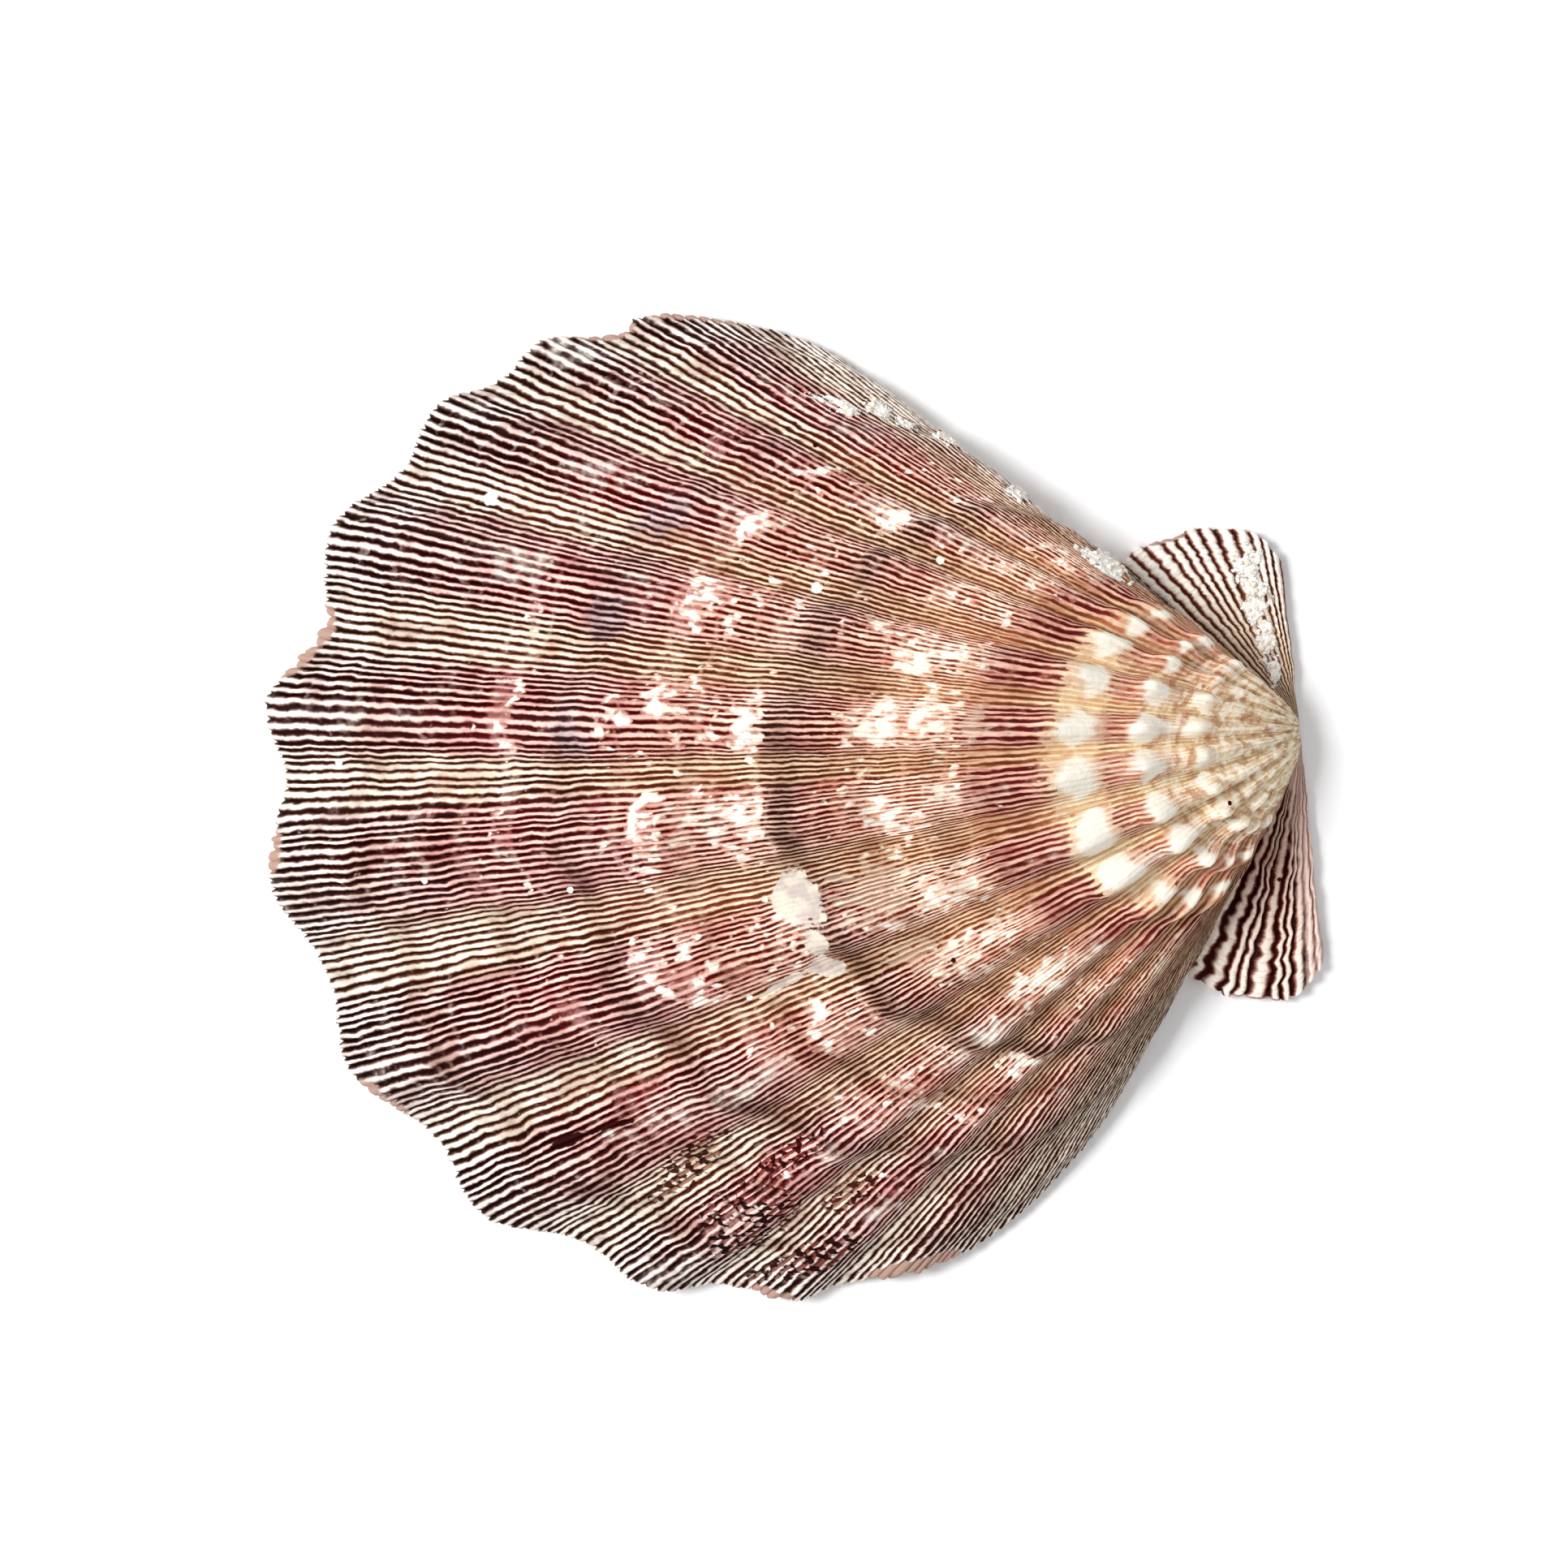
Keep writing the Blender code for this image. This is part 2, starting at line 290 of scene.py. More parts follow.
def rowSizes():
    fine = np.linspace(rows["firstSize"], 1.0, 4000)
    crowding = np.ones(len(fine))
    crowding += rows["beakCrowding"] * np.exp(-((fine - rows["firstSize"]) / rows["beakReach"]) ** 2)
    for step, ledge, knob in pauses["steps"]:
        crowding += rows["pauseCrowding"] * np.exp(-((fine - step) / rows["pauseReach"]) ** 2)
    passed = np.concatenate([[0.0], np.cumsum(0.5 * (crowding[1:] + crowding[:-1]))])
    return np.interp(np.linspace(0.0, passed[-1], rows["count"]), passed, fine)


def easeNumbers(values, low, high):
    part = np.clip((values - low) / (high - low), 0.0, 1.0)
    return part * part * (3.0 - 2.0 * part)


def insetOutline(outline, places):
    tangent = np.gradient(outline, places, axis=0)
    tangent /= np.linalg.norm(tangent, axis=1, keepdims=True)
    inward = np.stack([-tangent[:, 1], tangent[:, 0]], axis=1)
    inward[0] = (0.0, 1.0)
    inward[-1] = (0.0, -1.0)
    inner = outline + valve["rimFlat"] * inward
    inner[:, 0] += valve["hingeFlat"] * np.clip(1.0 - outline[:, 0] / valve["hingeBlend"], 0.0, 1.0)
    inner[[0, -1], 0] = valve["hingeFlat"]
    return inner


def markStrength(name, x, y):
    # 1 in the middle of a mark, 0.5 on its edge and 0 at twice its reach
    strength = np.zeros(len(x))
    for markX, markY, length, width, turn in marks[name]:
        cosTurn, sinTurn = math.cos(math.radians(turn)), math.sin(math.radians(turn))
        lengthwise = ((x - markX) * cosTurn + (y - markY) * sinTurn) / length
        sideways = ((y - markY) * cosTurn - (x - markX) * sinTurn) / width
        strength = np.maximum(strength, 1.0 - 0.5 * np.hypot(lengthwise, sideways))
    return strength


# The flat sheet that the growth tree turns into the valve
class Sheet:
    def __init__(self):
        self.parts = []
        self.faces = []
        self.count = 0

    def addRow(self, **values):
        # every value is a number or an array with one entry for each point of the row
        length = max(np.size(value) for value in values.values())
        self.parts.append({name: np.broadcast_to(value, length) for name, value in values.items()})
        numbers = np.arange(self.count, self.count + length)
        self.count += length
        return numbers

    def join(self, first, second):
        # faces between two rows, of which one may have a multiple of the other's points
        spans = min(len(first), len(second)) - 1
        a = (len(first) - 1) // spans
        b = (len(second) - 1) // spans
        start = len(self.faces)
        for span in range(spans):
            near = first[span * a:(span + 1) * a + 1]
            far = second[span * b:(span + 1) * b + 1]
            self.faces.append([int(n) for n in near] + [int(n) for n in far[::-1]])
        return start, len(self.faces) - 1

    def values(self, name):
        # rows that were made without the value have zeros
        return np.concatenate([part.get(name, np.zeros(len(part["size"]))) for part in self.parts])


def makeSheet():
    line, along, lowerNotch, upperNotch = marginLine()
    places, counts = columnPlan()
    random = np.random.default_rng(riblets["seed"] + 1)
    wave = foldWave(places)
    innerEdge = np.minimum(places - lowerNotch, upperNotch - places)
    lift = valve["earLift"] + (1.0 - valve["earLift"]) * easeNumbers(innerEdge, 0.0, valve["flankWidth"])
    ear = np.where(places < lowerNotch, -1.0, np.where(places > upperNotch, 1.0, 0.0))
    plain = np.stack([np.interp(places, along, line[:, axis]) for axis in (0, 1)], axis=1)
    outline = plain * (1.0 + folds["lobe"] * wave)[:, None]
    inner = insetOutline(outline, places)

    # the margin is uneven from riblet to riblet, and chipped in places
    ribletNumber = np.minimum(counts.astype(int), int(counts[-1]) - 1)
    loss = margin["uneven"] * random.uniform(0.0, 1.0, int(counts[-1]))[ribletNumber]
    loss += margin["scallop"] * np.maximum(np.cos(2.0 * np.pi * counts), 0.0) ** 2
    chipped, bareLayer = np.zeros(len(places)), np.zeros(len(places))
    for place, reach, depth, bare in chips:
        share = np.exp(-((places - place) / reach) ** 4)
        loss += depth * share * (0.8 + 0.2 * np.cos(counts * 2.3))
        chipped += share
        bareLayer += bare * share
    loss /= np.hypot(outline[:, 0], outline[:, 1])

    columns = {
        "place": places, "rib": counts, "fold": wave, "lift": lift, "ear": ear, "chipped": chipped,
        "apart": fromCrest(places), "bareLayer": bareLayer,
        "liftSlope": np.gradient(lift, places),
    }
    flat = valve["hingeFlat"]
    surfaces = {
        "outer": {"reach": outline[:, 0], "across": outline[:, 1], "apex": 0.0},
        "inner": {"reach": inner[:, 0] - flat, "across": inner[:, 1], "apex": flat},
    }
    for surface in surfaces.values():
        surface["reachSlope"] = np.gradient(surface["reach"], places)
        surface["acrossSlope"] = np.gradient(surface["across"], places)
    fromEnd = np.minimum(np.arange(len(places)), np.arange(len(places))[::-1])
    endFade = np.clip(fromEnd / margin["hingeFadeColumns"], 0.0, 1.0)

    sheet = Sheet()

    def gridRow(surfaceName, size, step, **more):
        columnSize = size * (1.0 - loss * easeNumbers(size, margin["lossFrom"], 1.0))
        values = {**columns, **surfaces[surfaceName], "size": columnSize, "skin": endFade, **more}
        return sheet.addRow(**{name: value[::step] if np.size(value) > 1 else value
                               for name, value in values.items()})

    sizes = rowSizes()
    rimHeight = valve["rimHeight"]
    beak = sheet.addRow(size=0.0, base=rimHeight, lift=1.0, rib=counts[-1] / 2)
    outerRows = []
    for size in sizes:
        step = 4 if size < rows["everyFourthBelow"] else 2 if size < rows["everySecondBelow"] else 1
        outerRows.append(gridRow("outer", size, step, base=rimHeight, foldShare=1.0, ribShare=1.0))
    middleRim = gridRow("outer", margin["bulge"], 1, base=margin["bulgeHeight"] * rimHeight, foldShare=1.0,
                        ribShare=margin["bulgeRiblets"])
    onFolds = np.where((ear != 0.0) | (wave < 1e-6), 0.0, 1.0)
    foot = gridRow("outer", 1.0, 1, foldShare=1.0, ribShare=margin["footRiblets"] * onFolds)

    innerRows = []
    for size in sizes[::-inside["rowStep"]]:
        innerRows.append(gridRow("inner", size, inside["columnStep"], side=1.0, foldShare=folds["inside"]))
    innerApex = sheet.addRow(size=0.0, apex=flat, side=1.0, lift=1.0, rib=counts[-1] / 2)

    # outside, rim, underside of the rim and inside, always in the same sense
    first = outerRows[0]
    for a, b in zip(first[:-1], first[1:]):
        sheet.faces.append([int(b), int(a), int(beak[0])])
    for near, far in zip(outerRows[:-1], outerRows[1:]):
        sheet.join(near, far)
    sheet.join(outerRows[-1], middleRim)
    sheet.join(middleRim, foot)
    rimStart, rimEnd = sheet.join(foot, innerRows[0])
    for near, far in zip(innerRows[:-1], innerRows[1:]):
        sheet.join(near, far)
    last = innerRows[-1]
    for a, b in zip(last[:-1], last[1:]):
        sheet.faces.append([int(a), int(b), int(innerApex[0])])

    # the hinge: its edge, the land under it and the ligament's pit
    topLine = [row[0] for row in outerRows[::-1]] + [beak[0]] + [row[-1] for row in outerRows]
    innerLine = [row[0] for row in innerRows] + [innerApex[0]] + [row[-1] for row in innerRows[::-1]]
    lineSizes = np.concatenate([sizes[::-1], [0.0], sizes])
    lowerSide = np.arange(len(lineSizes)) < len(sizes)
    edgeLoss = easeNumbers(lineSizes, margin["lossFrom"], 1.0) * np.where(lowerSide, loss[0], loss[-1])
    left = lineSizes * (1.0 - edgeLoss)
    outerEnds = left * np.where(lowerSide, outline[0, 1], outline[-1, 1])
    innerEnds = left * np.where(lowerSide, inner[0, 1], inner[-1, 1])

    def hingeLine(depth):
        across = outerEnds + (innerEnds - outerEnds) * depth / flat
        pit = hinge["pitDepth"] * np.clip(1.0 - np.abs(across) / hinge["pitHalfWidth"], 0.0, 1.0)
        pit = pit if depth > 0.0 else 0.0
        return sheet.addRow(size=1.0, apex=depth, across=across, base=pit, side=2.0, place=across, lift=1.0)

    bottom = hingeLine(0.0)
    inBetween = [hingeLine(depth) for depth in hinge["lineDepths"]]
    bottom[0], bottom[-1] = foot[0], foot[-1]
    wallStart, wallEnd = sheet.join(bottom, np.array(topLine))
    land = [np.array(innerLine)] + inBetween[::-1] + [bottom]
    for near, far in zip(land[:-1], land[1:]):
        sheet.join(near, far)
    # where strips of different rows meet, the shared edges get the same points
    sheet.faces[wallStart].append(int(middleRim[0]))
    sheet.faces[wallEnd].insert(2, int(middleRim[-1]))
    sheet.faces[rimStart] += [int(line[0]) for line in inBetween[::-1]]
    corner = sheet.faces[rimEnd].index(int(foot[-1])) + 1
    sheet.faces[rimEnd][corner:corner] = [int(line[-1]) for line in inBetween]
    return sheet


# values at each point that only the growth tree needs, and those that the looks need as well
growthValues = [
    "reach", "across", "lift", "reachSlope", "acrossSlope", "liftSlope", "apex", "base", "skin", "ribShare",
    "foldShare",
]
lookValues = ["size", "fold", "rib", "place", "side", "ear", "chipped", "apart", "bareLayer"]


def sheetMesh(sheet):
    values = {name: sheet.values(name) for name in growthValues + lookValues}
    # rest places without relief, for the marks that are given as seen from above
    coil = valve["coil"]
    angle = (1.0 - np.maximum(values["size"], 1e-4) ** coil) / (coil * valve["flatness"])
    x = valve["hingeX"] - values["apex"] - values["size"] * values["reach"] * np.cos(angle)
    y = valve["hingeY"] + values["size"] * values["across"]
    outside = values["side"] < 0.5
    for name in marks:
        values[name] = np.where(outside, markStrength(name, x, y), 0.0)
    values["blotch"] = np.zeros(len(x))
    for place, size, reach, depth in blotches:
        distance = np.hypot((values["place"] - place) / reach, (values["size"] - size) / depth)
        values["blotch"] = np.maximum(values["blotch"], (1.0 - 0.5 * distance) * outside)
    # laid out flat, only so that it can be looked at: the growth tree moves every point
    points = np.stack([values["place"], values["size"] * 100.0, values["side"] * -10.0], axis=1) * mm
    # the two spare points of the hinge's bottom line have been replaced by the ends of the foot
    used = np.zeros(len(points), dtype=bool)
    for face in sheet.faces:
        used[face] = True
    renumber = np.cumsum(used) - 1
    faces = [[int(renumber[n]) for n in face] for face in sheet.faces]
    mesh = bpy.data.meshes.new("shellSheet")
    mesh.from_pydata(points[used].tolist(), [], faces)
    for name, value in values.items():
        layer = mesh.attributes.new(name, "FLOAT", "POINT")
        layer.data.foreach_set("value", value[used].astype(np.float32))
    return mesh


# Trees of nodes written as sums
class Value:
    # one socket of a tree
    def __init__(self, nodes, socket):
        self.nodes = nodes
        self.socket = socket

    def __abs__(self):
        return self.nodes.math("ABSOLUTE", self)


def operator(operation, turned):
    def combine(value, other):
        first, second = (other, value) if turned else (value, other)
        return value.nodes.math(operation, first, second)
    return combine


for sign, operation in (("add", "ADD"), ("sub", "SUBTRACT"), ("mul", "MULTIPLY"),
                        ("truediv", "DIVIDE"), ("pow", "POWER")):
    setattr(Value, "__" + sign + "__", operator(operation, False))
    setattr(Value, "__r" + sign + "__", operator(operation, True))


class Nodes:
    def __init__(self, tree):
        self.tree = tree

    def add(self, kind, settings=None, inputs=None, output=0):
        node = self.tree.nodes.new(kind)
        for name, setting in (settings or {}).items():
            if name == "stops":
                self.fillRamp(node.color_ramp, setting)
            else:
                setattr(node, name, setting)
        for key, value in (inputs or {}).items():
            if isinstance(value, Value):
                self.tree.links.new(value.socket, node.inputs[key])
            else:
                node.inputs[key].default_value = value
        return Value(self, node.outputs[output])

    def fillRamp(self, ramp, stops):
        while len(ramp.elements) < len(stops):
            ramp.elements.new(0.5)
        for element, (place, tint) in zip(ramp.elements, stops):
            element.position = place
            element.color = tint

    def math(self, operation, *values):
        return self.add("ShaderNodeMath", {"operation": operation}, dict(enumerate(values)))

    def larger(self, first, second):
        return self.math("MAXIMUM", first, second)

    def bell(self, share):
        return self.math("EXPONENT", share * share * -1.0)

    def vector(self, operation, *values, output=0):
        return self.add("ShaderNodeVectorMath", {"operation": operation}, dict(enumerate(values)), output)

    def scaled(self, vector, factor):
        return self.add("ShaderNodeVectorMath", {"operation": "SCALE"}, {"Vector": vector, "Scale": factor})

    def length(self, vector):
        return self.vector("LENGTH", vector, output=1)

    def point(self, x, y, z=0.0):
        return self.add("ShaderNodeCombineXYZ", {}, {0: x, 1: y, 2: z})

    def axes(self, vector):
        return [self.add("ShaderNodeSeparateXYZ", {}, {0: vector}, output=axis) for axis in (0, 1, 2)]

    def ease(self, value, low, high):
        inputs = {0: value, 1: low, 2: high, 3: 0.0, 4: 1.0}
        return self.add("ShaderNodeMapRange", {"interpolation_type": "SMOOTHSTEP"}, inputs)

    def noise(self, place, scale=1.0, detail=2.0, roughness=0.5):
        inputs = {"Vector": place, "Scale": scale, "Detail": detail, "Roughness": roughness}
        return self.add("ShaderNodeTexNoise", {"noise_dimensions": "3D"}, inputs)

    def mix(self, share, first, second, blend="MIX"):
        settings = {"data_type": "RGBA", "blend_type": blend}
        return self.add("ShaderNodeMix", settings, {0: share, 6: first, 7: second}, output=2)

    def between(self, share, first, second):
        return first + (second - first) * share

    def ramp(self, value, stops):
        return self.add("ShaderNodeValToRGB", {"stops": stops}, {0: value})

    def toInteger(self, value):
        # distance from the nearest whole number, at most a half
        return abs(self.math("FRACT", value + 0.5) - 0.5)

    def bySplit(self, size, onEar, value, function):
        # near the umbo four riblets are still one, then two are, and on the ears they never are
        quadruple, double, whole = [function(self.toInteger(value * share)) for share in (0.25, 0.5, 1.0)]
        isDouble = self.ease(size, *riblets["quadrupleAt"])
        isWhole = self.larger(self.ease(size, *riblets["doubleAt"]), onEar)
        return self.between(isWhole, self.between(isDouble, quadruple, double), whole)


def tint(red, green, blue):
    # a colour as it is read off a screen, made linear
    linear = []
    for channel in (red, green, blue):
        share = channel / 255.0
        linear.append(share / 12.92 if share <= 0.04045 else ((share + 0.055) / 1.055) ** 2.4)
    return (*linear, 1.0)


# Materials
def newMaterial(name, roughness):
    material = bpy.data.materials.new(name)
    material.use_nodes = True
    surface = material.node_tree.nodes["Principled BSDF"]
    surface.inputs["Roughness"].default_value = roughness
    surface.inputs["Specular IOR Level"].default_value = 0.05
    return material, Nodes(material.node_tree), surface


def attribute(nodes, name):
    return nodes.add("ShaderNodeAttribute", {"attribute_name": name}, output=2)


def connect(nodes, surface, colour, roughness, height, bumpDistance):
    links = nodes.tree.links
    links.new(colour.socket, surface.inputs["Base Color"])
    links.new(roughness.socket, surface.inputs["Roughness"])
    bump = nodes.add("ShaderNodeBump", {}, {"Strength": 1.0, "Distance": bumpDistance, "Height": height})
    links.new(bump.socket, surface.inputs["Normal"])


ribbedLook = {
    # tones by size, for the pale riblets and the dark grooves between them
    "crestRidge": [
        (0.0, (250, 240, 208)), (0.10, (254, 244, 214)), (0.17, (252, 240, 212)), (0.22, (248, 224, 200)),
        (0.245, (244, 216, 192)), (0.268, (252, 240, 208)), (0.298, (252, 238, 206)),
        (0.312, (236, 190, 172)), (0.355, (234, 190, 172)),
        (0.39, (255, 240, 220)), (0.44, (255, 240, 222)), (0.48, (250, 216, 194)), (0.512, (244, 208, 194)),
        (0.521, (220, 190, 174)), (0.535, (220, 190, 174)), (0.545, (254, 232, 216)), (0.61, (250, 208, 190)),
        (0.67, (252, 214, 202)), (0.698, (252, 220, 210)), (0.712, (244, 214, 206)), (0.742, (246, 208, 200)),
        (0.77, (252, 218, 210)), (0.84, (246, 210, 204)), (0.91, (250, 228, 220)), (0.945, (255, 251, 246)),
        (1.0, (255, 248, 242)),
    ],
    "crestGroove": [
        (0.0, (196, 162, 112)), (0.16, (204, 152, 112)), (0.20, (168, 100, 76)), (0.25, (128, 56, 44)),
        (0.285, (168, 104, 78)), (0.306, (76, 16, 14)), (0.36, (76, 18, 14)), (0.39, (112, 46, 30)),
        (0.44, (108, 44, 28)), (0.48, (78, 20, 12)), (0.519, (38, 14, 14)), (0.536, (40, 16, 16)),
        (0.56, (80, 24, 16)), (0.64, (72, 8, 6)), (0.69, (58, 6, 8)), (0.715, (40, 6, 6)),
        (0.745, (48, 4, 5)), (0.79, (54, 3, 3)), (0.84, (34, 2, 1)), (0.93, (32, 4, 2)), (1.0, (26, 6, 3)),
    ],
    "valleyRidge": [
        (0.0, (246, 230, 192)), (0.17, (250, 236, 200)), (0.29, (254, 242, 208)), (0.322, (236, 200, 168)),
        (0.36, (228, 192, 162)), (0.41, (246, 218, 186)), (0.48, (238, 204, 172)), (0.525, (226, 204, 180)),
        (0.57, (248, 228, 200)), (0.65, (244, 224, 198)), (0.715, (242, 226, 206)), (0.76, (250, 240, 220)),
        (0.92, (252, 246, 232)), (1.0, (254, 248, 238)),
    ],
    "valleyGroove": [
        (0.0, (176, 134, 92)), (0.28, (164, 110, 76)), (0.33, (110, 54, 32)), (0.42, (124, 68, 42)),
        (0.52, (70, 30, 14)), (0.58, (94, 48, 28)), (0.68, (80, 32, 20)), (0.74, (56, 20, 12)),
        (0.84, (62, 24, 14)), (0.93, (46, 16, 8)), (1.0, (34, 10, 5)),
    ],
    # the reddish edges between the two
    "crestFringe": [
        (0.0, (224, 190, 140)), (0.17, (232, 190, 146)), (0.24, (200, 122, 98)), (0.275, (234, 198, 158)),
        (0.300, (214, 150, 118)), (0.312, (146, 58, 46)), (0.36, (146, 58, 44)), (0.39, (214, 136, 100)),
        (0.44, (210, 128, 96)), (0.48, (176, 80, 56)), (0.513, (152, 68, 54)), (0.521, (128, 70, 50)),
        (0.536, (128, 72, 52)), (0.548, (176, 90, 70)), (0.64, (164, 74, 60)), (0.69, (146, 58, 50)),
        (0.715, (124, 54, 50)), (0.745, (130, 46, 42)), (0.79, (150, 56, 50)), (0.84, (124, 48, 44)),
        (0.92, (118, 66, 58)), (1.0, (134, 104, 96)),
    ],
    "valleyFringe": [
        (0.0, (206, 170, 116)), (0.28, (214, 164, 112)), (0.33, (164, 98, 66)), (0.42, (190, 124, 84)),
        (0.52, (136, 86, 56)), (0.60, (174, 108, 76)), (0.70, (142, 76, 58)), (0.80, (164, 116, 94)),
        (0.92, (140, 102, 84)), (1.0, (120, 90, 78)),
    ],
    "lowerEarRidge": [
        (0.0, (196, 166, 148)), (0.5, (214, 186, 170)), (0.75, (246, 230, 216)), (1.0, (254, 246, 236)),
    ],
    "lowerEarGroove": [(0.0, (92, 50, 40)), (0.4, (52, 10, 8)), (1.0, (44, 8, 6))],
    "upperEarRidge": [
        (0.0, (196, 172, 146)), (0.4, (232, 214, 188)), (0.7, (252, 244, 230)), (1.0, (255, 252, 246)),
    ],
    "upperEarGroove": [
        (0.0, (104, 76, 52)), (0.45, (100, 64, 34)), (0.75, (78, 38, 20)), (1.0, (58, 22, 12)),
    ],
    # how far the stripes are broken up into dashes by size, 0 for whole stripes
    "loose": [
        (0.0, 0.90), (0.150, 0.85), (0.163, 0.55), (0.176, 0.85), (0.215, 0.80), (0.226, 0.30), (0.243, 0.34),
        (0.262, 0.95), (0.292, 0.90), (0.308, 0.10), (0.36, 0.20), (0.38, 0.49), (0.45, 0.46), (0.475, 0.34),
        (0.505, 0.28), (0.518, 0.04), (0.536, 0.08), (0.548, 0.50), (0.585, 0.46), (0.62, 0.42),
        (0.655, 0.50), (0.69, 0.26), (0.705, 0.04), (0.745, 0.08), (0.765, 0.36), (0.80, 0.30),
        (0.83, 0.12), (0.90, 0.05), (1.0, 0.02),
    ],
    # bands where growth paused, painted shade of the ledges on the lower folds mixed with the shell's own
    # darker olive tone: (size, strength)
    "bands": [
        (0.400, 0.35), (0.462, 0.35), (0.533, 0.55), (0.622, 0.50), (0.722, 0.50), (0.808, 0.40),
        (0.910, 0.40),
    ],
    "ledgeShadeOlive": (150, 122, 90),
    "cream": (255, 252, 240),
    "crustWhite": (255, 254, 250),
    "crustShade": (236, 226, 212),
    "scarPale": (238, 226, 210),
    "scarGrey": (206, 196, 188),
    "chipPink": (176, 144, 130),
    "lowerFlank": [
        (0.0, (176, 140, 110)), (0.4, (186, 154, 124)), (0.62, (222, 206, 186)), (1.0, (236, 230, 220)),
    ],
    "upperFlank": [
        (0.0, (206, 162, 132)), (0.45, (214, 180, 152)), (0.58, (252, 248, 242)), (1.0, (250, 246, 240)),
    ],
    # how much lighter or darker the riblets and the grooves are from place to place
    "ridgeShades": [
        (0.28, (0.74, 0.66, 0.62, 1)), (0.48, (0.97, 0.95, 0.94, 1)), (0.7, (1.06, 1.06, 1.06, 1)),
    ],
    "grooveShades": [(0.35, (0.75, 0.70, 0.70, 1)), (0.5, (1, 1, 1, 1)), (0.68, (1.9, 1.6, 1.5, 1))],
    "flankGroove": (40, 16, 6),
    "upperFlankGroove": (58, 38, 26),
    "flankFringe": (112, 78, 58),
    "notchTan": (172, 126, 102),
    "sideTan": (206, 146, 118),
    "earPink": (238, 208, 198),
    "earFringe": (150, 96, 82),
    # painted shadow at the outer growth ledges
    "ledgeShadowDark": (70, 34, 30),
    "frostRidge": (204, 190, 194),
    "frostFringe": (132, 104, 108),
    "frostGroove": (50, 26, 34),
    # tan of the valley lines, partly painted shade in the valley bottoms
    "valleyTanAndShade": (200, 170, 122),
    "mottlePink": (206, 150, 126),
    "beakBrown": (166, 116, 86),
    "speckleDark": (52, 10, 8),
    "pale": (246, 222, 196),
    # small spots seen from above, in mm: (x, y, radius)
    "whiteSpots": [
        (6.2, 24.8, 0.62), (-49.5, 11.2, 0.45), (20.0, 26.1, 0.45), (-28.6, 38.6, 0.85), (-41.0, -2.6, 0.4),
        (-6.5, -19.4, 0.35), (-24.8, -5.2, 0.4),
    ],
    "darkSpots": [(49.0, -4.5, 0.26), (16.3, -17.5, 0.3), (55.1, -15.1, 0.3), (8.0, 40.2, 0.3)],
}


def toneStops(stops):
    return [(place, tint(*colour)) for place, colour in stops]


def greyStops(stops):
    return [(place, (share, share, share, 1.0)) for place, share in stops]


def inMillimetres(nodes):
    here = nodes.add("ShaderNodeTexCoord", output=3)
    return nodes.scaled(here, 1.0 / mm)


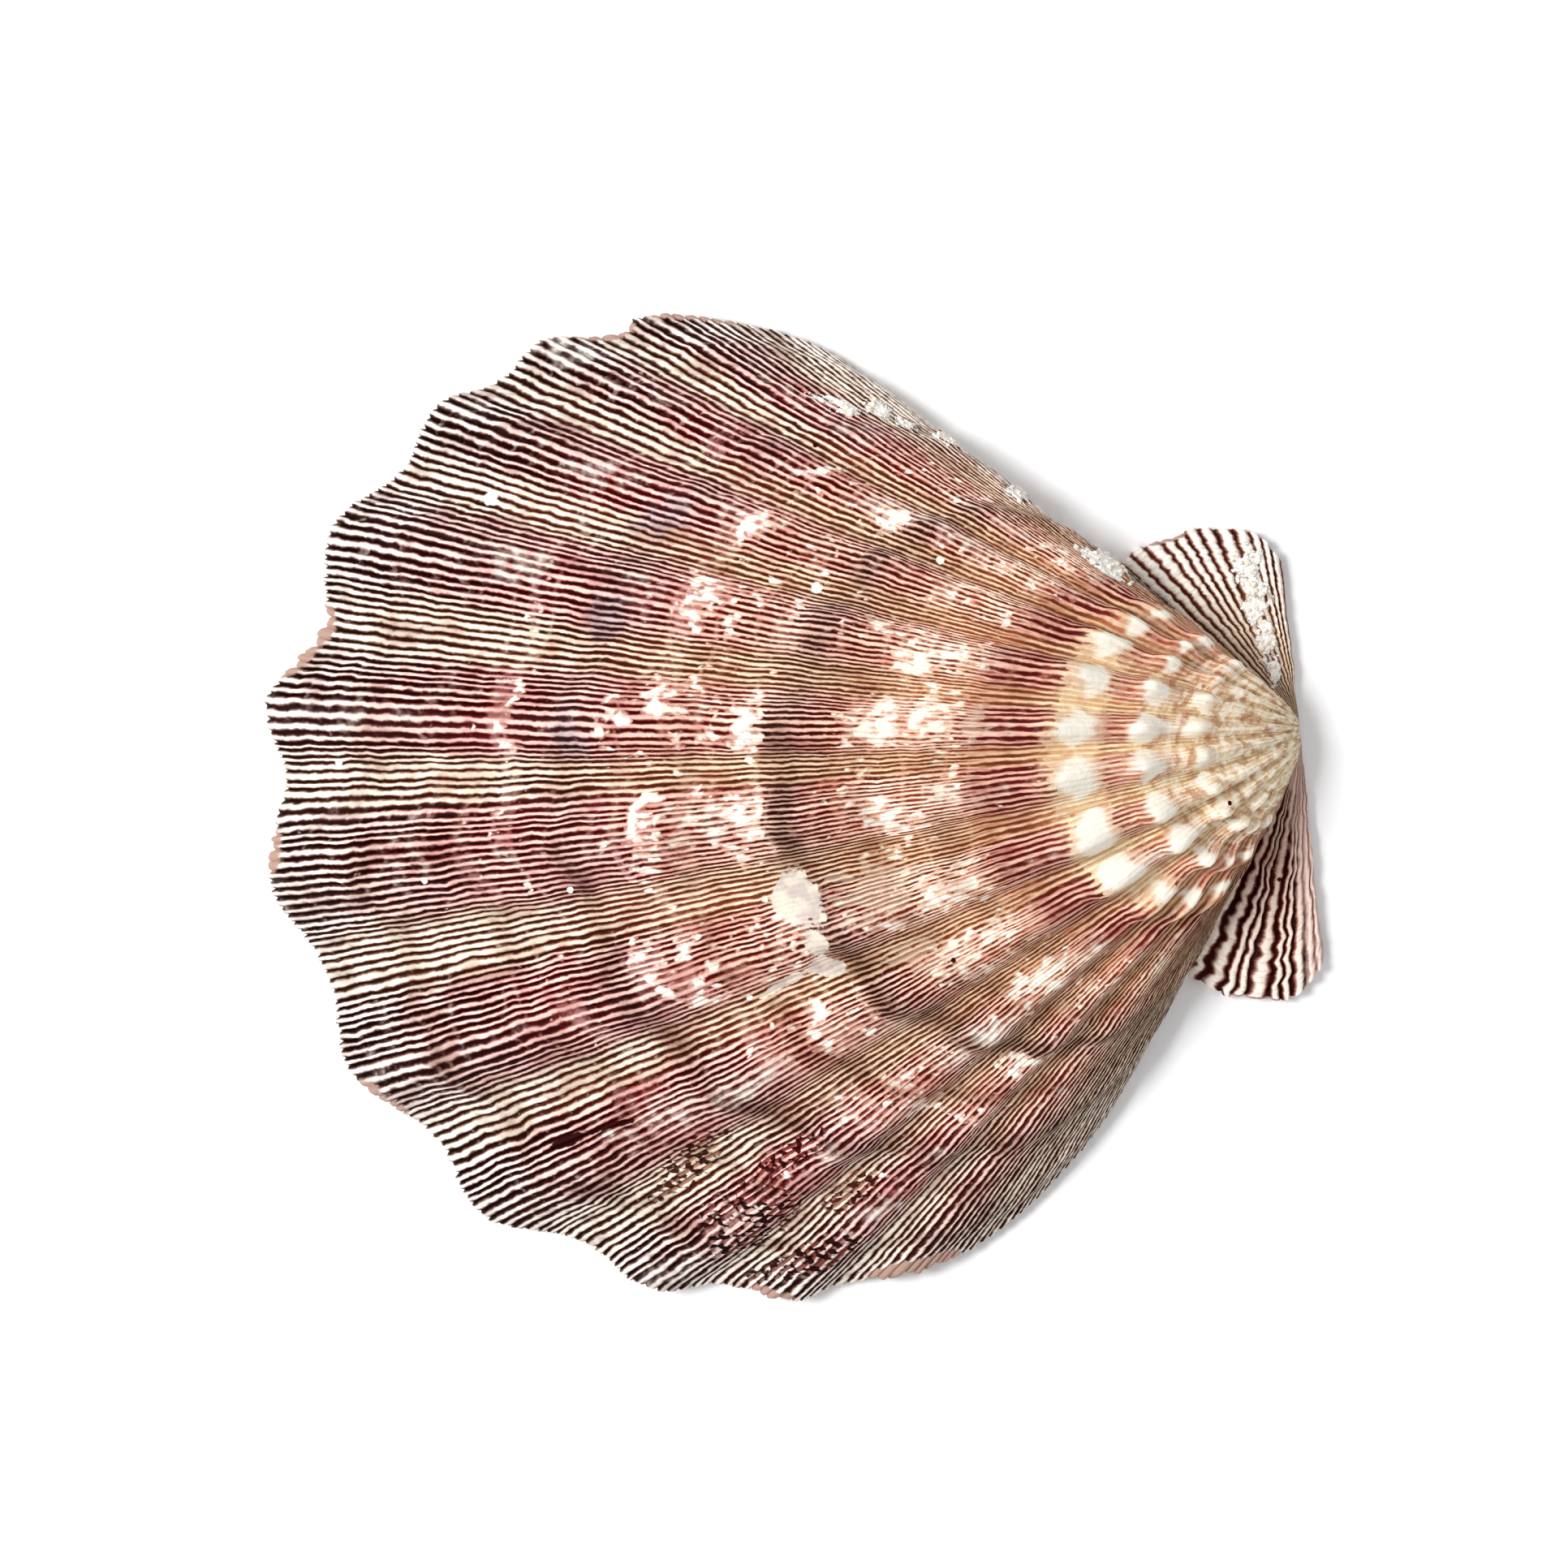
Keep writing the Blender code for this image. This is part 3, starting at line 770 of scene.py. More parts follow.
def makeRibbedOutside():
    look = ribbedLook
    material, nodes, surface = newMaterial("ribbedOutside", 0.5)
    ease, mix, larger, between = nodes.ease, nodes.mix, nodes.larger, nodes.between
    size, rib, fold, place, ear, apart = [
        attribute(nodes, name) for name in ("size", "rib", "fold", "place", "ear", "apart")]
    millimetres = inMillimetres(nodes)
    x, y, z = nodes.axes(millimetres)
    lowerEar = ease(ear * -1.0, 0.4, 0.6)
    upperEar = ease(ear, 0.4, 0.6)
    onEar = larger(lowerEar, upperEar)
    onDisc = 1.0 - onEar

    def net(across, onward, seed, detail=2.0, roughness=0.5):
        # noise in the shell's own net: across the riblets, and onward with the size
        return nodes.noise(nodes.point(across, size * onward, seed), 1.0, detail, roughness)

    def ramp(name, along=size):
        return nodes.ramp(along, toneStops(look[name]))

    def toward(share, colour, name):
        return mix(share, colour, tint(*look[name]))

    netFine = net(rib * 0.9, 95.0, 3.0)
    netDash = net(rib * 0.62, 62.0, 9.0)
    tones = net(rib * 0.22, 16.0, 21.0, 3.0, 0.6)
    zones = net(place * 0.11, 9.0, 1.0, 3.0)
    patches = net(place * 0.16, 22.0, 7.0)
    grain = nodes.noise(millimetres, 1.7, 3.0, 0.6)
    speck = nodes.noise(millimetres, 0.55, 2.0, 0.55)
    # the same noises with 0 in the middle, for what goes both ways
    fine, dash, zone, patch, sand, dust = [
        noise - 0.5 for noise in (netFine, netDash, zones, patches, grain, speck)]

    # tones differ on folds and in valleys, with ragged edges between the growth zones
    shifted = size + zone * 0.024 + dash * 0.014
    crest = ease(fold + patch * 0.3, 0.04, 0.42)
    flank = ease(abs(place), 84.0, 112.0) * onDisc
    upperSide = ease(place, -20.0, 20.0)
    grownUpperSide = upperSide * ease(size, 0.45, 0.6)
    ridge, groove, fringe = [
        mix(crest, ramp("valley" + part, shifted), ramp("crest" + part, shifted))
        for part in ("Ridge", "Groove", "Fringe")]
    fringe = toward(onEar, fringe, "earFringe")
    nearNotch = ease(place, 117.0, 128.0) * ease(size, 0.98, 0.55)
    upperTone = toward(nearNotch, ramp("upperFlank"), "notchTan")
    ridge = mix(flank * 0.85, ridge, mix(upperSide, ramp("lowerFlank"), upperTone))
    groove = mix(flank * 0.85, groove, toward(grownUpperSide, tint(*look["flankGroove"]), "upperFlankGroove"))
    fringe = toward(flank * 0.85, fringe, "flankFringe")
    # the young part of the outer folds is browner than that of the middle ones
    young = ease(abs(place + 8.0), 44.0, 80.0) * ease(size, 0.34, 0.28) * ease(size, 0.11, 0.19) * onDisc
    ridge = toward(young * 0.5, ridge, "sideTan")
    for onThisEar, name in ((lowerEar, "lowerEar"), (upperEar, "upperEar")):
        ridge = mix(onThisEar, ridge, ramp(name + "Ridge"))
        groove = mix(onThisEar, groove, ramp(name + "Groove"))
    frost = ease(attribute(nodes, "frost") + dust * 0.7 + dash * 0.5, 0.40, 0.75)
    ridge = toward(frost * 0.65, ridge, "frostRidge")
    fringe = toward(frost * 0.65, fringe, "frostFringe")
    groove = toward(frost * 0.50, groove, "frostGroove")

    # stripes: dark in the grooves between the riblets, wider on the outer folds
    wander = fine * between(ease(size, 0.3, 0.7), 0.75, 0.46) * (1.0 - onEar * 0.92)
    zigzag = net(rib * 0.22, 24.0, 17.0, 0.0) - 0.5
    wander = wander + zigzag * lowerEar * between(ease(rib, 4.0, 9.5), 0.35, 0.85)
    grown = ease(size, 0.70, 0.80)
    halfWidth = 0.222 + grown * crest * 0.018 - grown * (1.0 - crest) * 0.035
    halfWidth = halfWidth - upperEar * 0.075 - lowerEar * 0.01
    halfWidth = halfWidth - flank * grownUpperSide * 0.08 + flank * (1.0 - upperSide) * 0.03
    halfWidth = halfWidth + dash * 0.20 + patch * 0.14 + (net(rib * 0.5, 0.0, 4.0, 0.0) - 0.5) * 0.16
    fromGroove = nodes.bySplit(size, onEar, rib + wander, lambda distance: distance)
    stripe = 1.0 - ease(fromGroove, halfWidth - 0.09, halfWidth + 0.05)
    edge = 1.0 - ease(fromGroove, halfWidth, halfWidth + 0.18)

    # pale blotches and the white knobs, where the stripes break up into dashes
    loose = nodes.ramp(size + zone * 0.02, greyStops(look["loose"])) + patch * 0.9
    loose = loose + ease(attribute(nodes, "blotch"), 0.30, 0.95) * 0.39 - young * 0.62
    loose = loose - ease(abs(place), 32.0, 56.0) * ease(size, 0.54, 0.57) * 0.12
    loose = loose - ease(place, -32.0, -56.0) * ease(size, 0.54, 0.50) * 0.04
    loose = (loose - (1.0 - crest) * 0.16 * ease(size, 0.28, 0.34)) * onDisc - flank * 0.6
    knobStops = [(0.0, 0.3)]
    for middle, reach, height in knobs[::-1]:
        knobStops += [(middle - reach, 0.1), (middle - 0.2 * reach, 1.0), (middle + 0.75 * reach, 0.0)]
    knob = nodes.ramp(size + zone * 0.04, greyStops(knobStops)) - apart * apart * 0.92 + dust * 0.7
    knob = knob + (net(place * 0.05, 9.0, 31.0, 1.0) - 0.5) * 1.1
    knob = ease(knob + dash * 0.45 - young * 0.25, 0.0, 0.50) * onDisc * ease(fold, 0.0, 0.05)
    knob = knob * between(ease(size, 0.09, 0.19), 0.35, 1.0)
    offKnob = 1.0 - knob
    gap = ease(netDash * 1.25 + loose * 0.75, 1.01, 1.11)
    growthLines = 1.0 - ease(abs(net(place * 0.03, 26.0, 5.0, 1.0) - 0.5), 0.0, 0.07)
    lineGap = growthLines * ease(netFine + loose * 0.45, 0.50, 0.74) * 0.7 * onDisc
    whole = (1.0 - larger(gap, lineGap)) * (1.0 - knob * 0.92)
    stripe = stripe * whole
    edge = edge * between(0.55, whole, 1.0) * (1.0 - knob * 0.8)
    chewed = ease(net(rib * 1.1, 120.0, 13.0, 1.0), 0.48, 0.56)
    stripe = between(ease(attribute(nodes, "speckle") + dust * 0.7, 0.50, 0.62), stripe, chewed)
    stripe = larger(stripe, ease(attribute(nodes, "stain") + sand * 0.3, 0.45, 0.55))

    ridge = mix(1.0, ridge, nodes.ramp(netFine, look["ridgeShades"]), "MULTIPLY")
    ridge = mix(ease(tones, 0.46, 0.66) * 0.5 * onDisc * offKnob, ridge, fringe)
    groove = mix(1.0, groove, nodes.ramp(zones, look["grooveShades"]), "MULTIPLY")
    white = ease(loose * 0.9 + dash * 2.0 + fine * 0.8, 0.58, 0.80) * ease(size, 0.29, 0.33)
    ridge = toward(larger(white, knob) * 0.94, ridge, "cream")
    colour = mix(stripe, mix(edge * (1.0 - white * 0.85), ridge, fringe), groove)
    # tan lines along the valleys, the shell's own tan with painted shade in the valley bottoms, and mottling
    # near the beak
    valleyLineAndShade = ease(apart + dash * 0.5, 0.80, 1.02) * ease(size, 0.26, 0.16)
    colour = toward(valleyLineAndShade * onDisc * 0.6, colour, "valleyTanAndShade")
    mottle = ease(netDash + dust * 0.8 + upperSide * 0.06, 0.56, 0.68) * ease(size, 0.32, 0.24)
    colour = toward(mottle * offKnob * onDisc * 0.6, colour, "mottlePink")
    beakNet = net(rib * 0.11, 105.0, 41.0) + dust * 0.3
    beakDark = ease(beakNet, 0.53, 0.63) * ease(size, 0.28, 0.18)
    colour = toward(beakDark * offKnob * onDisc * 0.62, colour, "beakBrown")
    beakPale = ease(beakNet, 0.47, 0.38) * ease(size, 0.24, 0.14)
    colour = toward(beakPale * onDisc * 0.75, colour, "cream")
    colour = toward(lowerEar * ease(x + dust * 3.0, 56.6, 58.0) * 0.6, colour, "earPink")

    def rings(steps, reach):
        # strongest at the sizes given, and gone beyond the reach
        strongest = 0.0
        for step, strength in steps:
            strongest = larger(strongest, (1.0 - ease(abs(shifted - step), 0.0, reach)) * strength)
        return strongest

    # painted shadow lines just past the two outer growth ledges, where the step drops
    ledgeShadowLine = rings([(step + 0.004, 1.0) for step, ledge, extra in pauses["steps"][-2:]], 0.006)
    colour = toward(ledgeShadowLine * ease(patches, 0.42, 0.62) * onDisc * 0.22, colour, "ledgeShadowDark")
    # painted shade of the growth ledges, only on the lower folds, partly the shell's own olive tone
    ledgeShadeBand = rings(look["bands"], 0.024) * ease(patches + (1.0 - crest) * 0.12, 0.36, 0.56)
    ledgeShadeBand = ledgeShadeBand * ease(place, 44.0, -20.0) * ease(place, -132.0, -84.0) * onDisc
    colour = mix(ledgeShadeBand, colour, mix(1.0, colour, tint(*look["ledgeShadeOlive"]), "MULTIPLY"))

    # worn places, chips and crusts
    fade = ease(attribute(nodes, "fade") + dust * 0.9 + dash * 1.8, 0.42, 0.62)
    colour = toward(fade * 0.3, colour, "pale")
    scar = ease(attribute(nodes, "scar") + dust * 0.55 + sand * 0.3, 0.46, 0.54)
    colour = mix(scar * 0.85, colour, toward(ease(speck, 0.40, 0.62), tint(*look["scarGrey"]), "scarPale"))
    chip = ease(size + attribute(nodes, "bareLayer") + dust * 0.02 + sand * 0.01, 0.996, 1.002)
    chip = chip * ease(attribute(nodes, "chipped") + dust * 0.6, 0.35, 0.65)
    colour = toward(chip, colour, "chipPink")
    crust = ease(attribute(nodes, "crust") + dust * 1.3 + sand * 0.8, 0.50, 0.58)
    colour = mix(crust, colour, toward(ease(grain, 0.36, 0.56), tint(*look["crustShade"]), "crustWhite"))
    for spots, name in (("whiteSpots", "crustWhite"), ("darkSpots", "speckleDark")):
        for spotX, spotY, radius in look[spots]:
            distance = nodes.length(nodes.point(x - spotX, y - spotY)) + sand * radius
            colour = toward(1.0 - ease(distance, radius * 0.8, radius * 1.1), colour, name)

    height = netFine * 0.35 + grain * 0.30 + crust * grain * 1.2
    roughness = 0.46 + stripe * 0.10 + larger(scar, crust) * 0.25 + sand * 0.15
    connect(nodes, surface, colour, roughness, height, 0.28 * mm)
    return material


insideLook = {
    "depth": [
        (0.0, (226, 208, 192)), (0.25, (240, 228, 214)), (0.60, (250, 244, 236)), (0.86, (244, 232, 224)),
        (0.93, (206, 170, 160)), (0.965, (136, 84, 82)), (0.99, (92, 46, 48)), (1.0, (120, 76, 70)),
    ],
    "ear": (196, 164, 150),
    "blush": (226, 196, 184),
    "hinge": (150, 104, 88),
    "hingePale": (224, 200, 182),
    "pit": (70, 42, 34),
    "muscle": (232, 222, 214),
    "muscleScar": (6.0, 6.0, 17.0),     # x, y and radius in mm
}


def makePaleInside():
    look = insideLook
    material, nodes, surface = newMaterial("paleInside", 0.3)
    surface.inputs["Coat Roughness"].default_value = 0.2
    surface.inputs["Coat Weight"].default_value = 0.25
    ease, mix = nodes.ease, nodes.mix
    size, side, place, rib, ear = [
        attribute(nodes, name) for name in ("size", "side", "place", "rib", "ear")]
    millimetres = inMillimetres(nodes)
    x, y, z = nodes.axes(millimetres)
    cloud = nodes.noise(millimetres, 0.11, 3.0, 0.55)
    grain = nodes.noise(millimetres, 1.3, 3.0, 0.6)
    bands = nodes.noise(nodes.point(place * 0.02, size * 46.0, 2.0), 1.0, 2.0)
    streaks = nodes.noise(nodes.point(rib * 0.5, size * 20.0), 1.0, 2.0) - 0.5
    onHinge = ease(side, 1.4, 1.6)
    colour = nodes.ramp(size + (cloud - 0.5) * 0.05 + streaks * 0.02, toneStops(look["depth"]))
    colour = mix(ease(abs(ear), 0.2, 0.9) * 0.7, colour, tint(*look["ear"]))
    colour = mix(ease(cloud, 0.5, 0.75) * 0.25, colour, tint(*look["blush"]))
    scarX, scarY, scarRadius = look["muscleScar"]
    fromScar = nodes.length(nodes.point((x - scarX) / scarRadius, (y - scarY) / (0.85 * scarRadius)))
    scarEdge = ease(fromScar + (cloud - 0.5) * 0.15, 0.93, 1.0)
    colour = mix((1.0 - scarEdge) * 0.8 * (1.0 - onHinge), colour, tint(*look["muscle"]))
    hingeTone = mix(ease(abs(place), 3.2, 4.6), tint(*look["pit"]), tint(*look["hinge"]))
    hingeLines = nodes.noise(nodes.point(place * 1.8, x * 0.3, 0.0), 1.0, 2.0)
    hingeTone = mix(ease(hingeLines, 0.42, 0.62) * 0.5, hingeTone, tint(*look["hingePale"]))
    colour = mix(onHinge, colour, hingeTone)
    shades = nodes.ramp(grain, [(0.3, (0.9, 0.88, 0.86, 1)), (0.6, (1, 1, 1, 1))])
    colour = mix(1.0, colour, shades, "MULTIPLY")
    height = bands * 0.5 + grain * 0.15 + scarEdge * 0.6 + hingeLines * onHinge * 1.2
    roughness = 0.26 + grain * 0.12 + onHinge * 0.25
    connect(nodes, surface, colour, roughness, height, 0.15 * mm)
    return material


def makeCrustMaterial():
    material, nodes, surface = newMaterial("limeCrust", 0.8)
    here = nodes.add("ShaderNodeTexCoord", output=3)
    grain = nodes.noise(here, 1600.0, 3.0, 0.65)
    stops = [(0.30, (206, 188, 168)), (0.50, (244, 236, 222)), (0.70, (255, 252, 246))]
    tone = nodes.ramp(grain, toneStops(stops))
    connect(nodes, surface, tone, 0.7 + grain * 0.2, grain, 0.25 * mm)
    return material


# The growth tree: every point of the sheet goes where the shell's growth puts it
def newShapeTree(name, inputs):
    tree = bpy.data.node_groups.new(name, "GeometryNodeTree")
    tree.interface.new_socket("Geometry", in_out="OUTPUT", socket_type="NodeSocketGeometry")
    tree.interface.new_socket("Geometry", in_out="INPUT", socket_type="NodeSocketGeometry")
    for label, kind in inputs:
        tree.interface.new_socket(label, in_out="INPUT", socket_type=kind)
    nodes = Nodes(tree)
    entry = tree.nodes.new("NodeGroupInput")
    given = {socket.name: Value(nodes, socket) for socket in entry.outputs if socket.name}
    return tree, nodes, given


def finishTree(tree, nodes, geometry, materials):
    # materials is a list of (material, mask), of which the first has no mask
    geometry = nodes.add("GeometryNodeRealizeInstances", {}, {0: geometry})
    for material, mask in materials:
        inputs = {"Geometry": geometry, "Material": material}
        if mask is not None:
            inputs["Selection"] = mask
        geometry = nodes.add("GeometryNodeSetMaterial", {}, inputs)
    exitNode = tree.nodes.new("NodeGroupOutput")
    tree.links.new(geometry.socket, exitNode.inputs[0])
    return tree


def runTree(piece, tree, settings):
    modifier = piece.modifiers.new("shape", "NODES")
    modifier.node_group = tree
    for item in tree.interface.items_tree:
        if item.in_out == "INPUT" and item.name in settings:
            modifier[item.identifier] = settings[item.name]
    graph = bpy.context.evaluated_depsgraph_get()
    shaped = piece.evaluated_get(graph)
    mesh = bpy.data.meshes.new_from_object(shaped, preserve_all_data_layers=True, depsgraph=graph)
    piece.modifiers.remove(modifier)
    # the sphere that the grains are copied from leaves an empty slot
    for number in reversed(range(len(mesh.materials))):
        if mesh.materials[number] is None:
            mesh.materials.pop(index=number)
    piece.data = mesh
    mesh.name = piece.name
    return mesh


def named(nodes, name):
    return nodes.add("GeometryNodeInputNamedAttribute", {"data_type": "FLOAT"}, {"Name": name})


def growthTree(outside, paleInside):
    inputs = ["Coil", "Flatness", "Fold Height", "Fold Growth", "Riblet Height", "Ear Riblet Height",
              "Riblet Wander", "Ear Wander", "Ledge Rise", "Ledge Drop", "Crust Height", "Edge Wander",
              "Seed"]
    tree, nodes, given = newShapeTree("shellGrowth", [(name, "NodeSocketFloat") for name in inputs])
    values = {name: named(nodes, name) for name in growthValues + lookValues + ["crust", "scar"]}
    size = nodes.math("MAXIMUM", values["size"], 0.0001)
    reach, across, lift = values["reach"], values["across"], values["lift"]
    seed = given["Seed"]

    # turn about the hinge line, and its change with the size
    angle = (1.0 - size ** given["Coil"]) / (given["Coil"] * given["Flatness"])
    turning = (size ** (given["Coil"] - 1.0)) / given["Flatness"] * -1.0
    cosAngle = nodes.math("COSINE", angle)
    sinAngle = nodes.math("SINE", angle)
    resting = nodes.point((values["apex"] + size * reach * cosAngle) * -1.0, values["size"] * across,
                          values["base"] + size * reach * sinAngle * lift)
    onward = nodes.point((reach * cosAngle - size * reach * sinAngle * turning) * -1.0, across,
                         (reach * sinAngle + size * reach * cosAngle * turning) * lift)
    sideways = nodes.point(size * values["reachSlope"] * cosAngle * -1.0, size * values["acrossSlope"],
                           size * sinAngle * (values["reachSlope"] * lift + reach * values["liftSlope"]))
    outward = nodes.vector("NORMALIZE", nodes.vector("CROSS_PRODUCT", sideways, onward))
    sideways = nodes.vector("NORMALIZE", sideways)

    # folds, ledges and knobs
    relief = given["Fold Height"] * size ** given["Fold Growth"] * values["fold"] * values["foldShare"]
    onEar = abs(values["ear"])
    outerOnly = nodes.math("MINIMUM", values["ribShare"], 1.0)
    rough = nodes.noise(nodes.point(values["place"] * 0.16, size * 30.0, seed), 1.0, 2.0) - 0.5
    ledges = None
    for step, ledge, knob in pauses["steps"]:
        gap = size + rough * 0.012 - step
        isPast = nodes.math("GREATER_THAN", gap, 0.0)
        width = (given["Ledge Rise"] + (given["Ledge Drop"] - given["Ledge Rise"]) * isPast) * step
        share = gap / width
        ring = nodes.bell(share) * (ledge + values["fold"] * values["fold"] * knob)
        ledges = ring if ledges is None else ledges + ring
    relief = relief + ledges * lift * lift * outerOnly
    knobRows = None
    for middle, reachInSize, height in knobs:
        row = nodes.bell((size + rough * 0.010 - middle) / reachInSize) * height
        knobRows = row if knobRows is None else knobRows + row
    nearCrest = nodes.math("EXPONENT", values["apart"] * values["apart"] * -3.2)
    rounded = knobRows * nearCrest * nodes.ease(values["fold"], 0.0, 0.2)
    relief = relief + rounded * outerOnly

    # riblets, which split in two as the shell grows
    ridge = nodes.bySplit(size, onEar, values["rib"], lambda distance: nodes.ease(distance, 0.04, 0.30))
    ribHeight = nodes.between(onEar, given["Riblet Height"], given["Ear Riblet Height"])
    beads = nodes.noise(nodes.point(values["rib"] * 0.8, size * 70.0, seed + 3.0), 1.0, 1.0)
    worn = 1.0 - nodes.ease(nodes.larger(values["scar"], values["crust"]), 0.35, 0.55) * 0.85
    worn = worn * (1.0 - nodes.math("MINIMUM", rounded, 0.7))
    relief = relief + ridge * ribHeight * (0.75 + beads * 0.5) * size ** 0.6 * values["ribShare"] * worn
    crust = nodes.ease(values["crust"] + rough * 0.4, 0.42, 0.62) * given["Crust Height"] * (0.5 + beads)
    relief = relief + crust * outerOnly + (rough * 0.22 * outerOnly)

    # riblets wander a little sideways at each growth line, more on the lower ear
    lowerEar = nodes.ease(values["ear"] * -1.0, 0.2, 0.9)
    waves = nodes.noise(nodes.point(values["place"] * 0.10, size * 32.0, seed + 7.0), 1.0, 2.0) - 0.5
    earWaves = nodes.noise(nodes.point(values["place"] * 0.20, size * 17.0, seed + 9.0), 1.0, 1.0) - 0.5
    wander = waves * given["Riblet Wander"] * (1.0 - lowerEar) + earWaves * given["Ear Wander"] * lowerEar
    wander = wander * 2.0 * size ** 0.5 * outerOnly

    # the free edge of the hinge is uneven too
    atHinge = nodes.ease(values["apex"] + size * reach, 1.2, 0.0)
    atHinge = atHinge * nodes.ease(abs(size * across), 1.5, 5.0)
    edge = nodes.noise(nodes.point(size * across * 0.35, values["base"] * 0.25, seed + 5.0), 1.0, 3.0) - 0.5
    bulge = nodes.point(atHinge * edge * given["Edge Wander"] * 2.0, 0.0, 0.0)

    relief = relief * values["skin"]
    moved = resting
    for step in (nodes.scaled(outward, relief), nodes.scaled(sideways, wander * values["skin"]), bulge,
                 (valve["hingeX"], valve["hingeY"], 0.0)):
        moved = nodes.vector("ADD", moved, step)
    moved = nodes.scaled(moved, mm)
    geometry = nodes.add("GeometryNodeSetPosition", {}, {"Geometry": given["Geometry"], "Position": moved})
    inner = nodes.math("GREATER_THAN", values["side"], 0.5)
    return finishTree(tree, nodes, geometry, [(outside, None), (paleInside, inner)])


growthSettings = {
    "Coil": valve["coil"],
    "Flatness": valve["flatness"],
    "Fold Height": folds["height"],
    "Fold Growth": folds["growth"],
    "Riblet Height": riblets["height"],
    "Ear Riblet Height": riblets["earHeight"],
    "Riblet Wander": riblets["wander"],
    "Ear Wander": riblets["earWander"],
    "Ledge Rise": pauses["rise"],
    "Ledge Drop": pauses["drop"],
    "Crust Height": 0.45,
    "Edge Wander": hinge["edgeWander"],
    "Seed": 4.0,
}

grains = {
    "Density": 1500000.0,      # grains on a square metre in the thick of a crust
    "Smallest": 0.12,
    "Largest": 0.42,
    "Seed": 23,
}


def crustTree(material):
    inputs = [(name, "NodeSocketFloat") for name in ("Density", "Smallest", "Largest")]
    tree, nodes, given = newShapeTree("limeGrains", inputs + [("Seed", "NodeSocketInt")])
    x, y, height = nodes.axes(nodes.add("GeometryNodeInputPosition"))
    offFloor = nodes.ease(height, 0.9 * mm, 1.3 * mm)
    density = nodes.ease(named(nodes, "crust"), 0.46, 0.75) * offFloor * given["Density"]
    scatter = nodes.add("GeometryNodeDistributePointsOnFaces", {"distribute_method": "RANDOM"},
                        {"Mesh": given["Geometry"], "Density": density, "Seed": given["Seed"]})
    radius = nodes.add("FunctionNodeRandomValue", {"data_type": "FLOAT"},
                       {2: given["Smallest"] * mm, 3: given["Largest"] * mm, "Seed": given["Seed"]}, output=1)
    turn = nodes.add("FunctionNodeRandomValue", {"data_type": "FLOAT_VECTOR"},
                     {0: (0.0, 0.0, 0.0), 1: (6.28, 6.28, 6.28), "Seed": given["Seed"]})
    grain = nodes.add("GeometryNodeMeshIcoSphere", {}, {"Radius": 1.0, "Subdivisions": 1})
    size = nodes.point(radius * 1.2, radius, radius * 0.8)
    placed = nodes.add("GeometryNodeInstanceOnPoints", {},
                       {"Points": scatter, "Instance": grain, "Rotation": turn, "Scale": size})
    return finishTree(tree, nodes, placed, [(material, None)])


# Pieces
def addPiece(name, mesh):
    piece = bpy.data.objects.new(name, mesh)
    bpy.context.scene.collection.objects.link(piece)
    return piece


ribbedOutside = makeRibbedOutside()
paleInside = makePaleInside()
limeCrust = makeCrustMaterial()
print("materials made")

sheet = makeSheet()
shell = addPiece("ribbedValve", sheetMesh(sheet))
print("sheet of", len(shell.data.vertices), "points and", len(shell.data.polygons), "faces")
runTree(shell, growthTree(ribbedOutside, paleInside), growthSettings)
shell.data.shade_smooth()
shell.data.set_sharp_from_angle(angle=math.radians(80.0))
print("valve grown:", sum(len(face.vertices) - 2 for face in shell.data.polygons), "triangles")

crust = addPiece("crustGrains", shell.data.copy())
runTree(crust, crustTree(limeCrust), grains)
print("crust grains:", len(crust.data.polygons), "faces")

for name in growthValues:
    shell.data.attributes.remove(shell.data.attributes[name])

for piece in (shell, crust):
    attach(piece, "root")
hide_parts("scallop_valve")


# Stage, light and camera
stage = {
    "floorSize": 3.0,
    "floorTint": (252, 252, 253),
    "skyStrength": 0.58,
    "keyPower": 8.2,
    "keySize": 0.32,
    "keyPlace": (-0.57, 0.22, 0.70),
}

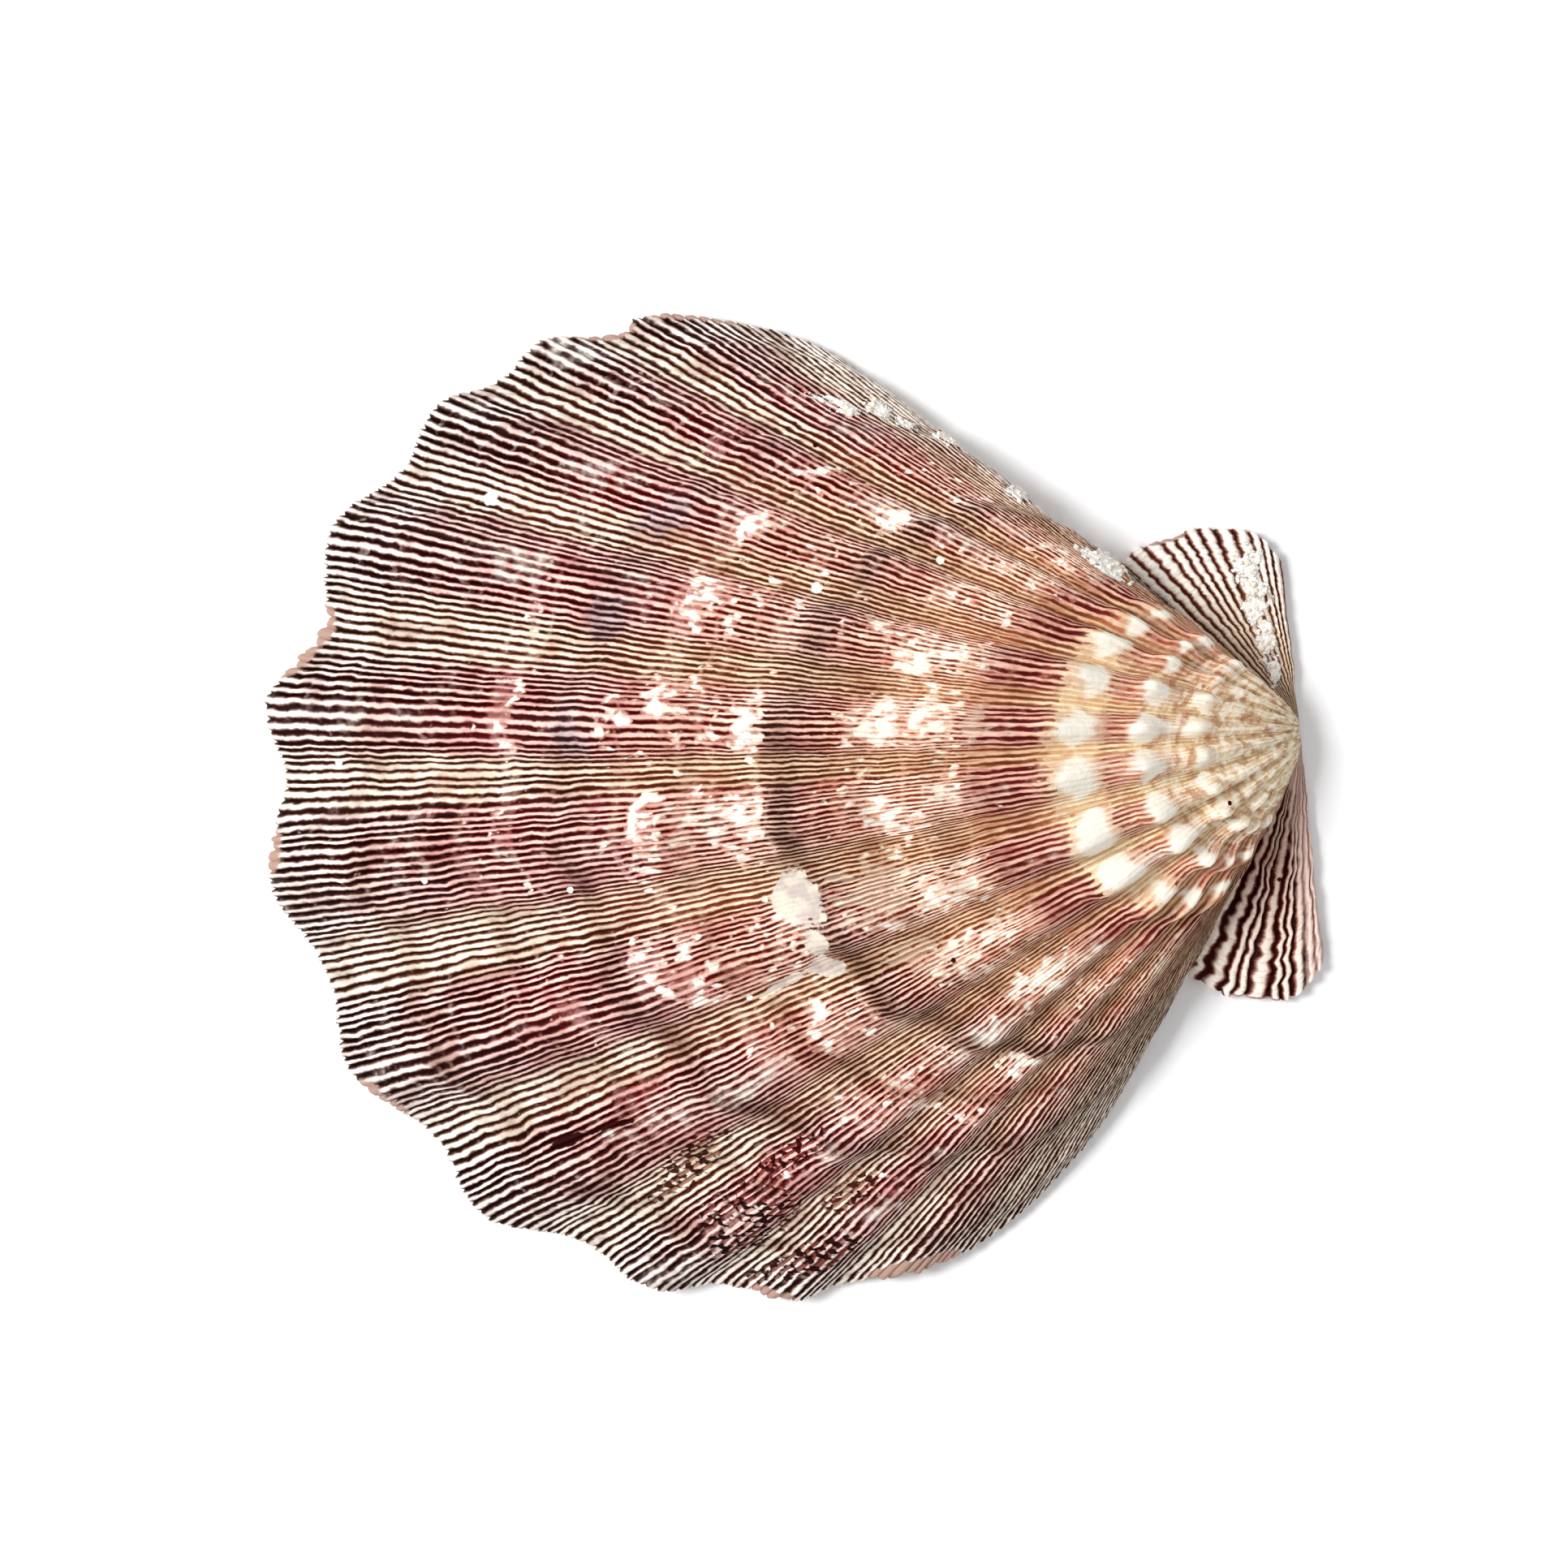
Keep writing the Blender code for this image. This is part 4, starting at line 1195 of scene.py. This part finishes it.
photo = {
    "target": (0.112, 2.338, 0.0),     # mm, the point of the floor in the middle of the picture
    "distance": 380.0,
    "tilt": 5.5,
    "roll": 6.8,
    "lens": 76.2,
    "sensor": 36.0,
}


def makeFloor():
    half = stage["floorSize"] / 2.0
    mesh = bpy.data.meshes.new("floor")
    corners = [(-half, -half, 0.0), (half, -half, 0.0), (half, half, 0.0), (-half, half, 0.0)]
    mesh.from_pydata(corners, [], [(0, 1, 2, 3)])
    floor = addPiece("floor", mesh)
    material, nodes, surface = newMaterial("paleFloor", 0.9)
    surface.inputs["Base Color"].default_value = tint(*stage["floorTint"])
    surface.inputs["Specular IOR Level"].default_value = 0.0
    mesh.materials.append(material)


def makeLights():
    world = bpy.data.worlds.new("softRoom")
    world.use_nodes = True
    background = world.node_tree.nodes["Background"]
    background.inputs["Color"].default_value = (1.0, 1.0, 1.0, 1.0)
    background.inputs["Strength"].default_value = stage["skyStrength"]
    bpy.context.scene.world = world
    light = bpy.data.lights.new("key", "AREA")
    light.shape = "SQUARE"
    light.size = stage["keySize"]
    light.energy = stage["keyPower"]
    key = addPiece("key", light)
    key.location = stage["keyPlace"]
    direction = key.location.copy()
    key.rotation_euler = direction.to_track_quat("Z", "Y").to_euler()


def makeCamera():
    tilt, roll = math.radians(photo["tilt"]), math.radians(photo["roll"])
    back = np.array([0.0, math.sin(tilt), math.cos(tilt)])
    up = np.array([math.sin(roll), math.cos(roll), 0.0])
    right = np.cross(-back, up)
    right /= np.linalg.norm(right)
    up = np.cross(right, -back)
    camera = bpy.data.cameras.new("camera")
    camera.lens = photo["lens"]
    camera.sensor_width = photo["sensor"]
    camera.clip_start = 0.01
    camera.clip_end = 10.0
    holder = addPiece("camera", camera)
    place = (np.array(photo["target"]) + photo["distance"] * back) * mm
    turn = np.eye(4)
    turn[:3, 0], turn[:3, 1], turn[:3, 2], turn[:3, 3] = right, up, back, place
    holder.matrix_world = Matrix(turn.tolist())
    bpy.context.scene.camera = holder


makeFloor()
makeLights()
makeCamera()
bpy.context.scene.view_settings.view_transform = "Standard"
print("stage, light and camera set")
